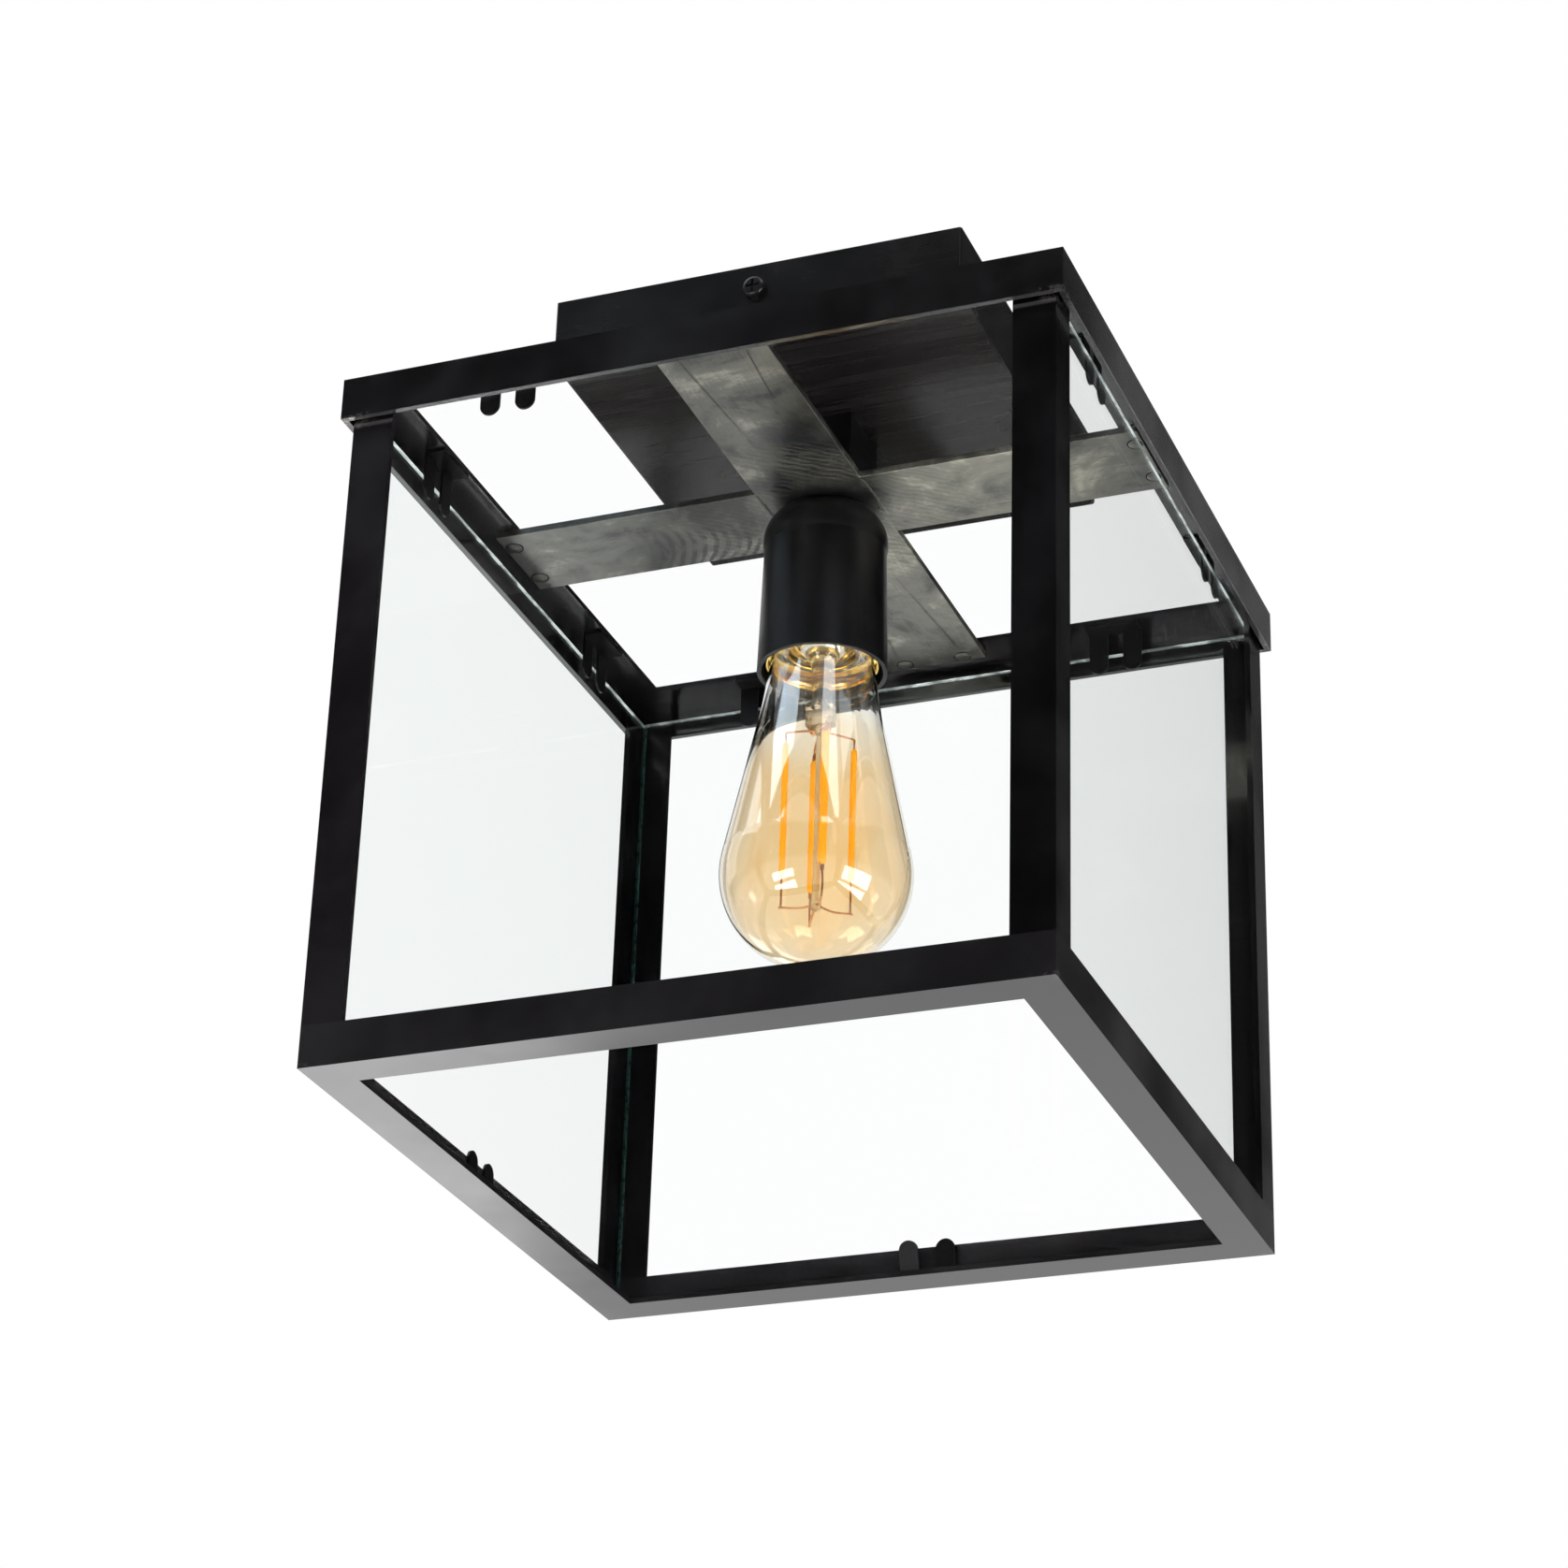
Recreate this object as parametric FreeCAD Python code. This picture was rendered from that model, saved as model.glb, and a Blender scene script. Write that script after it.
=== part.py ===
import FreeCAD, Part
import math
import os

os.makedirs("parts", exist_ok=True)

V = FreeCAD.Vector
UP = V(0, 0, 1)
ORIGIN = V(0, 0, 0)
past = 1.0                  # how far a cutting shape reaches past a face
near = 0.01                 # two coordinates closer than this are the same

# Box lantern under a ceiling, in millimetres. The origin is on the ceiling plane at the
# middle of the lamp, +Z up, so the whole lamp hangs below z = 0. Front is -Y, right is +X.

# Heights below the ceiling
canopy_depth = 25.0
stand_off = 26.0            # free height between canopy and lid
lid_height = 15.0
cage_height = 243.0         # underside of the bottom frame to the top of the lid

# Angle-iron cage
cage_width = 240.0
angle_width = 14.0
angle_thick = 2.0

# Lid frame, an angle a little wider than the cage
lid_gap = 1.3               # play between the lid's skirt and the posts
lid_flange = 15.0
lid_thick = 2.0

# Clear panes
glass_thick = 2.0
glass_play = 0.2            # play between a pane and the angle outside it
glass_top_drop = 9.0        # top edge of a pane below the underside of the lid's flange
pane_corner_play = 0.4

# Bendable retaining fingers, in pairs on a common foot
finger_width = 6.8
finger_pitch = 12.4
finger_thick = 0.9
finger_top_length = 16.5
finger_bottom_length = 13.5
finger_play = 0.2
finger_foot_depth = 7.0
finger_pair_spread = 67.0   # upper pairs each side of the middle
bent_finger_lean = 14.0     # one lower finger at the back leans inward, degrees

# Cross of flat bars under the lid
bar_width = 38.0
bar_thick = 2.5
bar_end_play = 5.5          # bar end to the inside of the lid's skirt

# Rivets
rivet_shank_r = 1.8
rivet_head_r = 2.9
rivet_head_height = 1.5
rivet_dome_r_share = 0.72   # a point on the dome, as shares of its radius
rivet_dome_drop_share = 0.62  # and of its height
rivet_tail_r = 2.6
rivet_tail_height = 0.7
rivet_play = 0.1
rivet_edge = 3.6            # rivet centre to the end of the bar
rivet_spread = 11.0         # rivet centres each side of the bar's middle

# Canopy tray
canopy_width = 145.0
canopy_wall = 1.5
canopy_corner_r = 1.0
side_screw_drop = 9.0       # screw centre below the ceiling

# Side screws and their bracket
screw_r = 2.0
screw_head_r = 3.9
screw_head_height = 2.3
screw_head_round = 1.4
screw_length = 9.0
screw_slot_width = 0.9
screw_slot_length = 4.6
screw_slot_depth = 1.2
screw_play = 0.25
thread_play = 0.05
bracket_width = 24.0
bracket_thick = 1.8
bracket_play = 0.3          # ear to canopy wall
bracket_ear = 15.0
bracket_bend_r = 2.0
slot_r = 2.25
slot_length = 14.0
slot_spacing = 70.0
cable_hole_r = 8.0

# Spacer tube and the threaded nipple through it
spacer_width = 26.0
spacer_wall = 1.5
nipple_r = 5.0
nipple_bore_r = 3.6
nipple_stick_up = 8.0       # above the canopy floor
nipple_play = 0.2
nut_across = 17.0
nut_height = 3.5

# Terminal block, earth screw and leads
block_width = 15.0
block_length = 30.0
block_height = 10.0
block_x = -42.0
block_pole_pitch = 9.6
block_hole_r = 1.6
block_screw_r = 1.5
block_screw_height = 1.0
block_screw_offset = 4.0
earth_x = 40.0
earth_screw_r = 2.0
earth_head_r = 3.8
earth_head_height = 2.4
lead_r = 0.9
lead_gap = 0.8              # between the two leads inside the nipple
lead_bend_r = 3.0
lead_loop_height = 6.0      # leads above the nipple's top
lead_straight = 8.5         # first run out of the terminal block
lead_turn_x = -16.0         # where the leads have climbed to the loop
earth_lead_side = 14.0      # the earth lead passes the nut at this distance

# Lampholder
cup_top_r = 20.9
cup_rim_r = 22.0
cup_wall = 1.5
cup_dome = 16.0
cup_flat_margin = 1.5       # flat top past the corners of the nut's flats
cup_bend_r_share = 0.76     # a point on the dome's arc, as shares of its width
cup_bend_drop_share = 0.27  # and of its height
cup_height = 62.0
insert_play = 0.2
insert_drop = 18.0          # top of the insert below the bars
insert_length = 30.0
insert_roof = 8.0           # solid top of the insert above the centre contact
insert_boss_r = 8.0
insert_boss_height = 9.0
boss_window_width = 5.0
boss_window_height = 3.6
nipple_grip = 4.0           # nipple end into the insert's boss
terminal_y = 12.0
terminal_r = 2.2
terminal_height = 3.2
shell_r = 13.9
shell_thick = 0.5
shell_length = 25.0
contact_r = 4.0
contact_thick = 0.8

# Bulb with a screw cap
cap_r = 13.1
cap_wall = 0.5
cap_length = 23.0
cap_cone_height = 3.2
cap_drawn_in = 3.0
cap_neck_rise = 1.2
insulator_play = 0.1
insulator_seat = 1.5
insulator_tip_r = 4.6
cap_tip_r = 4.0
cap_tip_height = 1.2
bulb_contact_play = 0.3     # bulb tip to the holder's centre contact
collar_r = 18.9
collar_lip = 5.0
collar_wall = 0.5
collar_play = 0.1
collar_grip = 1.5           # up the cap's wall
collar_crown = 1.2
collar_edge_drop = 1.0      # outer edge of the slope below the cap
collar_inner_drop = 0.2
glass_wall = 1.0
glass_seat = 3.6            # how far the neck reaches into the cap
glass_neck_play = 0.15
glass_shoulder_r = 17.6
glass_shoulder_drop = 4.6
glass_cone_top_r = 22.0
glass_cone_top_drop = 31.6
belly_r = 32.0
belly_drop = 82.6           # centre of the round end below the cap
cone_slope = 12.0           # degrees that the straight flank leans out
belly_mid_angle = -40.0     # a point on the round end, degrees from level
glass_root_drop = 1.4       # where the neck starts to turn outward, below the cap
glass_turn_out = 0.9        # bulge of the turn past the straight line
glass_turn_up = 0.35
glass_cone_hollow = 0.35    # the upper cone is this much slimmer than straight

# Stem and filaments
stem_tube_r = 3.4
stem_flare_length = 12.0
stem_seat_play = 0.05
stem_rim = 2.0
stem_flare_mid_r = 5.6      # a point on the flare's curve
stem_flare_mid_drop = 5.5
stem_tube_end = 21.0        # below the cap
press_width = 9.4
press_thick = 4.2
press_height = 7.0
rod_r = 1.3
hub_r = 1.9
lower_hub_drop = 93.6       # below the cap
ring_r = 11.5
filament_count = 4
filament_turn = 30.0
filament_r = 1.25
filament_top_drop = 33.0
filament_length = 53.0
wire_r = 0.35
star_droop = 2.4
star_rise = 1.6             # upper arms above the filament ends

# Levels and distances that follow
half_cage = cage_width / 2
half_lid = half_cage + lid_gap + lid_thick
lid_top = -canopy_depth - stand_off
lid_under = lid_top - lid_thick
lid_skirt_end = lid_top - lid_height
cage_bottom = lid_top - cage_height
rail_floor = cage_bottom + angle_thick
bar_top = lid_under
bar_under = bar_top - bar_thick
bar_half = half_lid - lid_thick - bar_end_play
canopy_floor = -canopy_depth + canopy_wall
pane_outer = half_cage - angle_thick - glass_play
pane_inner = pane_outer - glass_thick
pane_top = lid_under - glass_top_drop
holder_top = bar_under
insert_top = holder_top - insert_drop
insert_end = insert_top - insert_length
contact_level = insert_top - insert_roof
cup_rim = holder_top - cup_height
bulb_top = contact_level - contact_thick - bulb_contact_play - cap_tip_height
cap_end = bulb_top - cap_cone_height - cap_length
nipple_top = canopy_floor + nipple_stick_up
boss_top = insert_top + insert_boss_height
nipple_end = boss_top - nipple_grip

SIDES = ("front", "right", "back", "left")
CORNERS = ("front_left", "front_right", "back_right", "back_left")


def save(name, shape):
    """Write one named piece as a STEP file."""
    shape.exportStep("parts/" + name + ".step")


def turned(shape, angle):
    """A copy of the shape turned about the lamp's own axis."""
    copy = shape.copy()
    copy.rotate(ORIGIN, UP, angle)
    return copy


def block(x0, x1, y0, y1, z0, z1):
    """A box between two corners."""
    return Part.makeBox(x1 - x0, y1 - y0, z1 - z0, V(x0, y0, z0))


def disc(r, z0, z1, x=0.0, y=0.0):
    """An upright cylinder between two levels."""
    return Part.makeCylinder(r, z1 - z0, V(x, y, z0))


def prism(points, direction):
    """A closed outline pushed along a direction."""
    return Part.Face(Part.makePolygon(points + [points[0]])).extrude(direction)


def revolved(edges):
    """A half outline in the XZ plane turned about the lamp's axis."""
    face = Part.Face(Part.Wire(edges))
    return face.revolve(ORIGIN, UP, 360)


def chain(points):
    """Straight edges through the points, not closed."""
    return [Part.makeLine(a, b) for a, b in zip(points, points[1:])]


def group(solids):
    """Separate solids kept together in one node."""
    return Part.makeCompound(solids)


def mitre_wedge(half, z0, z1):
    """The quarter of the plan that belongs to the front rail."""
    corners = [V(-half, -half, z0), V(half, -half, z0), V(0, 0, z0)]
    return prism(corners, V(0, 0, z1 - z0))


def hexagon_nut(z0, bore_r):
    """A hexagon nut standing on level z0."""
    radius = nut_across / 2 / math.cos(math.radians(30))
    points = []
    for step in range(6):
        angle = math.radians(60 * step)
        points.append(V(radius * math.cos(angle), radius * math.sin(angle), z0))
    nut = prism(points, V(0, 0, nut_height))
    return nut.cut(disc(bore_r, z0 - past, z0 + nut_height + past))


# ---- cage ----------------------------------------------------------------

def bottom_rail():
    """Front rail of the bottom frame: an angle with mitred ends."""
    upright = block(-half_cage, half_cage, -half_cage, -half_cage + angle_thick,
                    cage_bottom, cage_bottom + angle_width)
    flat = block(-half_cage, half_cage, -half_cage, -half_cage + angle_width,
                 cage_bottom, rail_floor)
    wedge = mitre_wedge(half_cage, cage_bottom, cage_bottom + angle_width)
    return upright.fuse(flat).common(wedge).removeSplitter()


def corner_post():
    """Front left post: an angle from the bottom frame up to the lid."""
    h = half_cage
    outline = [V(-h, -h, 0), V(-h + angle_width, -h, 0),
               V(-h + angle_width, -h + angle_thick, 0),
               V(-h + angle_thick, -h + angle_thick, 0),
               V(-h + angle_thick, -h + angle_width, 0), V(-h, -h + angle_width, 0)]
    start = cage_bottom + angle_width
    post = prism(outline, V(0, 0, lid_under - start))
    post.translate(V(0, 0, start))
    return post


def rivet_places():
    """Plan positions of the two rivets at the right end of the cross."""
    x = bar_half - rivet_edge
    return [(x, -rivet_spread), (x, rivet_spread)]


def rivet_holes(z0, z1):
    """Clearance holes for the two rivets at the right end of the cross."""
    return [disc(rivet_shank_r + rivet_play, z0, z1, x, y) for x, y in rivet_places()]


def lid_rail():
    """Front rail of the lid: skirt outside, flange on top, mitred ends, rivet holes."""
    skirt = block(-half_lid, half_lid, -half_lid, -half_lid + lid_thick,
                  lid_skirt_end, lid_top)
    flange = block(-half_lid, half_lid, -half_lid, -half_lid + lid_flange,
                   lid_under, lid_top)
    rail = skirt.fuse(flange).common(mitre_wedge(half_lid, lid_skirt_end, lid_top))
    for hole in rivet_holes(lid_under - past, lid_top + past):
        rail = rail.cut(turned(hole, -90))
    return rail.removeSplitter()


def pane(half_length):
    """Front pane: stands on the bottom frame's flange, behind its upright."""
    return block(-half_length, half_length, -pane_outer, -pane_inner, rail_floor, pane_top)


# ---- retaining fingers ---------------------------------------------------

def finger(length, direction):
    """One round-ended finger in the XZ plane at the origin, root at z = 0."""
    r = finger_width / 2
    straight = direction * (length - r)
    body = block(-r, r, 0, finger_thick, min(0, straight), max(0, straight))
    tip = Part.makeCylinder(r, finger_thick, V(0, 0, straight), V(0, 1, 0))
    return body.fuse(tip).removeSplitter()


def finger_pair(x, level, length, direction, lean=0.0):
    """Two fingers on one foot, inside the front pane."""
    y = -pane_inner + finger_play
    foot_half = (finger_pitch + finger_width) / 2
    z0, z1 = sorted((level, level + direction * finger_thick))
    pair = block(x - foot_half, x + foot_half, y, y + finger_foot_depth, z0, z1)
    for side in (-1, 1):
        one = finger(length, direction)
        if side > 0 and lean:
            one.rotate(ORIGIN, V(1, 0, 0), -lean * direction)
        one.translate(V(x + side * finger_pitch / 2, y, level))
        pair = pair.fuse(one)
    keep = block(x - foot_half - past, x + foot_half + past, y - past, y + length,
                 min(level, level + direction * length),
                 max(level, level + direction * length))
    return pair.common(keep).removeSplitter()


def pane_fingers(upper_ends, lean):
    """The pairs that hold the front pane: above at the given ends, and one below."""
    pairs = [finger_pair(end * finger_pair_spread, lid_under, finger_top_length, -1)
             for end in upper_ends]
    return pairs + [finger_pair(0, rail_floor, finger_bottom_length, 1, lean)]


# ---- cross ---------------------------------------------------------------

def cross_bar():
    """The long bar from front to back, with the hole for the nipple."""
    w = bar_width / 2
    bar = block(-w, w, -bar_half, bar_half, bar_under, bar_top)
    bar = bar.cut(disc(nipple_r + nipple_play, bar_under - past, bar_top + past))
    for hole in rivet_holes(bar_under - past, bar_top + past):
        for angle in (90, 270):
            bar = bar.cut(turned(hole, angle))
    return bar


def cross_arm():
    """The right arm, butted against the long bar."""
    w = bar_width / 2
    arm = block(w, bar_half, -w, w, bar_under, bar_top)
    for hole in rivet_holes(bar_under - past, bar_top + past):
        arm = arm.cut(hole)
    return arm


def rivet(x, y):
    """A domed rivet: head under the bar, tail on top of the lid's flange."""
    low = bar_under - rivet_head_height
    tail_top = lid_top + rivet_tail_height
    swell = V(rivet_head_r * rivet_dome_r_share, 0,
              bar_under - rivet_head_height * rivet_dome_drop_share)
    edges = [Part.Arc(V(0, 0, low), swell, V(rivet_head_r, 0, bar_under)).toShape()]
    edges += chain([V(rivet_head_r, 0, bar_under), V(rivet_shank_r, 0, bar_under),
                    V(rivet_shank_r, 0, lid_top), V(rivet_tail_r, 0, lid_top),
                    V(rivet_tail_r, 0, tail_top), V(0, 0, tail_top), V(0, 0, low)])
    solid = revolved(edges)
    solid.translate(V(x, y, 0))
    return solid


def all_rivets():
    """Two rivets at each of the four ends of the cross."""
    rivets = []
    for x, y in rivet_places():
        for angle in (0, 90, 180, 270):
            rivets.append(turned(rivet(x, y), angle))
    return rivets


# ---- canopy --------------------------------------------------------------

def side_hole(r, y0, y1):
    """A hole through the front wall for the side screw, along Y."""
    return Part.makeCylinder(r, y1 - y0, V(0, y0, -side_screw_drop), V(0, 1, 0))


def canopy_tray():
    """Square tray, open to the ceiling, with its side screw holes."""
    h = canopy_width / 2
    shell = block(-h, h, -h, h, -canopy_depth, 0)
    outer_edges = [e for e in shell.Edges if e.BoundBox.ZMin < -near]
    shell = shell.makeFillet(canopy_corner_r, outer_edges)
    inner = h - canopy_wall
    shell = shell.cut(block(-inner, inner, -inner, inner, canopy_floor, past))
    shell = shell.cut(disc(nipple_r + nipple_play, -canopy_depth - past, 0))
    hole = side_hole(screw_r + screw_play, -h - past, -inner + past)
    return shell.cut(hole).cut(turned(hole, 180))


def side_screw():
    """Pan-head screw through the canopy's front wall into the bracket's ear."""
    face = -canopy_width / 2
    shank = Part.makeCylinder(screw_r, screw_length, V(0, face, -side_screw_drop), V(0, 1, 0))
    head = Part.makeCylinder(screw_head_r, screw_head_height,
                             V(0, face - screw_head_height, -side_screw_drop), V(0, 1, 0))
    front_rim = [e for e in head.Edges if e.BoundBox.YMax < face - screw_head_height / 2]
    head = head.makeFillet(screw_head_round, front_rim)
    a, b = screw_slot_length / 2, screw_slot_width / 2
    y0, y1 = face - screw_head_height - past, face - screw_head_height + screw_slot_depth
    for half_x, half_z in ((a, b), (b, a)):
        slot = block(-half_x, half_x, y0, y1, -side_screw_drop - half_z,
                     -side_screw_drop + half_z)
        head = head.cut(slot)
    return head.fuse(shank).removeSplitter()


def ceiling_bracket():
    """Strap against the ceiling with two slots, a cable hole and two bent ears."""
    w = bracket_width / 2
    reach = canopy_width / 2 - canopy_wall - bracket_play
    strap = block(-w, w, -reach, reach, -bracket_thick, 0)
    for side in (-1, 1):
        y0, y1 = sorted((side * reach, side * (reach - bracket_thick)))
        strap = strap.fuse(block(-w, w, y0, y1, -bracket_ear, 0))
    strap = strap.removeSplitter()
    bends = [e for e in strap.Edges
             if e.BoundBox.ZMin > -near and abs(abs(e.BoundBox.YMin) - reach) < near
             and e.BoundBox.XLength > w]
    strap = strap.makeFillet(bracket_bend_r, bends)
    strap = strap.cut(disc(cable_hole_r, -bracket_thick - past, past))
    for side in (-1, 1):
        middle = side * slot_spacing / 2
        run = slot_length / 2 - slot_r
        slot = block(-slot_r, slot_r, middle - run, middle + run,
                     -bracket_thick - past, past)
        for end in (-run, run):
            slot = slot.fuse(disc(slot_r, -bracket_thick - past, past, 0, middle + end))
        strap = strap.cut(slot)
    hole = side_hole(screw_r + thread_play, -reach - past, -reach + bracket_thick + past)
    return strap.cut(hole).cut(turned(hole, 180)).removeSplitter()


def terminal_block():
    """Three-pole block on the canopy floor, with wire holes and screw wells."""
    w, h = block_width / 2, block_length / 2
    body = block(block_x - w, block_x + w, -h, h, canopy_floor, canopy_floor + block_height)
    middle = canopy_floor + block_height / 2
    for pole in (-1, 0, 1):
        y = pole * block_pole_pitch
        body = body.cut(Part.makeCylinder(block_hole_r, block_width + 2 * past,
                                          V(block_x - w - past, y, middle), V(1, 0, 0)))
        for side in (-1, 1):
            x = block_x + side * block_screw_offset
            top = canopy_floor + block_height
            body = body.cut(disc(block_screw_r + screw_play,
                                 top - block_screw_height, top + past, x, y))
    return body


def terminal_screws():
    """Six clamp screws sunk in the terminal block's wells."""
    top = canopy_floor + block_height
    screws = []
    for pole in (-1, 0, 1):
        for side in (-1, 1):
            x = block_x + side * block_screw_offset
            screws.append(disc(block_screw_r, top - block_screw_height, top, x,
                               pole * block_pole_pitch))
    return screws


def earth_screw():
    """Earth screw standing on the canopy floor, its head over the earth lead."""
    head_start = canopy_floor + 2 * lead_r
    stud = disc(earth_screw_r, canopy_floor, head_start, earth_x)
    head = disc(earth_head_r, head_start, head_start + earth_head_height, earth_x)
    return stud.fuse(head).removeSplitter()


def lead(points):
    """A round lead along straight runs joined by tangent arcs."""
    edges = []
    start = points[0]
    for before, corner, after in zip(points, points[1:], points[2:]):
        a = (before - corner).normalize()
        b = (after - corner).normalize()
        half = a.getAngle(b) / 2
        set_back = lead_bend_r / math.tan(half)
        entry = corner + a * set_back
        leave = corner + b * set_back
        centre = corner + (a + b).normalize() * (lead_bend_r / math.sin(half))
        middle = centre + (corner - centre).normalize() * lead_bend_r
        edges.append(Part.makeLine(start, entry))
        edges.append(Part.Arc(entry, middle, leave).toShape())
        start = leave
    edges.append(Part.makeLine(start, points[-1]))
    path = Part.Wire(edges)
    profile = Part.Wire(Part.Circle(points[0], points[1] - points[0], lead_r).toShape())
    return path.makePipeShell([profile], True, False)


def holder_lead(side):
    """One lead from the terminal block down the nipple to the lampholder."""
    y_pole = side * block_pole_pitch
    y_in = side * (lead_r + lead_gap / 2)
    level = canopy_floor + block_height / 2
    face = block_x + block_width / 2
    loop = nipple_top + lead_loop_height
    foot = insert_top + boss_window_height / 2
    return lead([V(face, y_pole, level), V(face + lead_straight, y_pole, level),
                 V(lead_turn_x, y_in, loop), V(0, y_in, loop), V(0, y_in, foot),
                 V(0, side * (terminal_y - terminal_r), foot)])


def earth_lead():
    """The lead from the block's middle pole round the nut to the earth screw."""
    level = canopy_floor + block_height / 2
    low = canopy_floor + lead_r
    face = block_x + block_width / 2
    side = earth_lead_side
    return lead([V(face, 0, level), V(face + lead_straight, 0, level),
                 V(-side, side, (level + low) / 2), V(side, side, low),
                 V(earth_x - side / 2, 0, low), V(earth_x - earth_screw_r, 0, low)])


def spacer_tube():
    """Square tube between the canopy and the cross."""
    a, b = spacer_width / 2, spacer_width / 2 - spacer_wall
    tube = block(-a, a, -a, a, bar_top, -canopy_depth)
    return tube.cut(block(-b, b, -b, b, bar_top - past, -canopy_depth + past))


def nipple():
    """Threaded tube that clamps canopy, spacer, cross and lampholder."""
    tube = disc(nipple_r, nipple_end, nipple_top)
    return tube.cut(disc(nipple_bore_r, nipple_end - past, nipple_top + past))


# ---- lampholder ----------------------------------------------------------

def cup_outline(inset):
    """Half outline of the cup, domed above and widening to its rim."""
    top = holder_top - inset
    rim = cup_rim
    top_r = cup_top_r - inset
    rim_r = cup_rim_r - inset
    shoulder = holder_top - cup_dome
    flat_r = nut_across / 2 + cup_flat_margin
    bend = V(flat_r + (top_r - flat_r) * cup_bend_r_share, 0,
             top - (top - shoulder) * cup_bend_drop_share)
    return [Part.makeLine(V(0, 0, top), V(flat_r, 0, top)),
            Part.Arc(V(flat_r, 0, top), bend, V(top_r, 0, shoulder)).toShape(),
            Part.makeLine(V(top_r, 0, shoulder), V(rim_r, 0, rim)),
            Part.makeLine(V(rim_r, 0, rim), V(0, 0, rim)),
            Part.makeLine(V(0, 0, rim), V(0, 0, top))]


def lampholder_cup():
    """Domed cup, hollow and open below."""
    cup = revolved(cup_outline(0)).cut(revolved(cup_outline(cup_wall)))
    return cup.cut(disc(nipple_r + nipple_play, holder_top - cup_dome, holder_top + past))


def inner_cup_r(z):
    """Inside radius of the cup's wall at a level below its shoulder."""
    share = (holder_top - cup_dome - z) / (cup_height - cup_dome)
    return cup_top_r - cup_wall + (cup_rim_r - cup_top_r) * share


def lampholder_insert():
    """Moulded insert that carries the socket shell, threaded on the nipple."""
    r = inner_cup_r(insert_top) - insert_play
    socket_top = contact_level - contact_thick
    body = disc(r, insert_end, insert_top)
    body = body.fuse(disc(insert_boss_r, insert_top, boss_top))
    body = body.cut(disc(shell_r + insert_play, insert_end - past, socket_top))
    body = body.cut(disc(contact_r + insert_play, socket_top - past, contact_level))
    body = body.cut(disc(nipple_r + thread_play, insert_top, boss_top + past))
    w = boss_window_width / 2
    window = block(-w, w, -insert_boss_r - past, insert_boss_r + past, insert_top,
                   insert_top + boss_window_height)
    return body.cut(window).removeSplitter()


def lampholder_terminals():
    """Two clamp screws on top of the insert."""
    return [disc(terminal_r, insert_top, insert_top + terminal_height, 0, side * terminal_y)
            for side in (-1, 1)]


def socket_shell():
    """Thin metal shell that takes the bulb's screw cap."""
    top = contact_level - contact_thick
    shell = disc(shell_r, top - shell_length, top)
    return shell.cut(disc(shell_r - shell_thick, top - shell_length - past, top + past))


def centre_contact():
    """Spring plate at the bottom of the socket."""
    return disc(contact_r, contact_level - contact_thick, contact_level)


# ---- bulb ----------------------------------------------------------------

def bulb_cap():
    """Screw cap: a thin shell with a drawn-in end."""
    shoulder = bulb_top - cap_cone_height
    neck = cap_r - cap_drawn_in
    rise = shoulder + cap_neck_rise
    inner_r = cap_r - cap_wall
    low = cap_end - past
    outer = chain([V(0, 0, cap_end), V(cap_r, 0, cap_end), V(cap_r, 0, shoulder),
                   V(neck, 0, rise), V(0, 0, rise), V(0, 0, cap_end)])
    inner = chain([V(0, 0, low), V(inner_r, 0, low), V(inner_r, 0, shoulder),
                   V(neck - cap_wall, 0, rise), V(0, 0, rise), V(0, 0, low)])
    return revolved(outer).cut(revolved(inner))


def cap_insulator():
    """Dark glass cone between the cap and its tip."""
    start = bulb_top - cap_cone_height + cap_neck_rise
    seat_r = cap_r - cap_drawn_in - cap_wall - insulator_play
    outline = chain([V(0, 0, start - insulator_seat), V(seat_r, 0, start - insulator_seat),
                     V(seat_r, 0, start), V(insulator_tip_r, 0, bulb_top),
                     V(0, 0, bulb_top), V(0, 0, start - insulator_seat)])
    return revolved(outline)


def cap_tip():
    """Contact button on the end of the cap."""
    return disc(cap_tip_r, bulb_top, bulb_top + cap_tip_height)


def bulb_collar():
    """Shallow brass skirt around the root of the glass."""
    top = cap_end + collar_grip
    low = cap_end - collar_lip
    edge = cap_end - collar_edge_drop
    seat = cap_r + collar_play
    outline = chain([V(seat, 0, top), V(seat + collar_crown, 0, top), V(collar_r, 0, edge),
                     V(collar_r, 0, low), V(collar_r - collar_wall, 0, low),
                     V(collar_r - collar_wall, 0, edge - collar_inner_drop),
                     V(seat, 0, top - 2 * collar_wall), V(seat, 0, top)])
    return revolved(outline)


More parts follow.
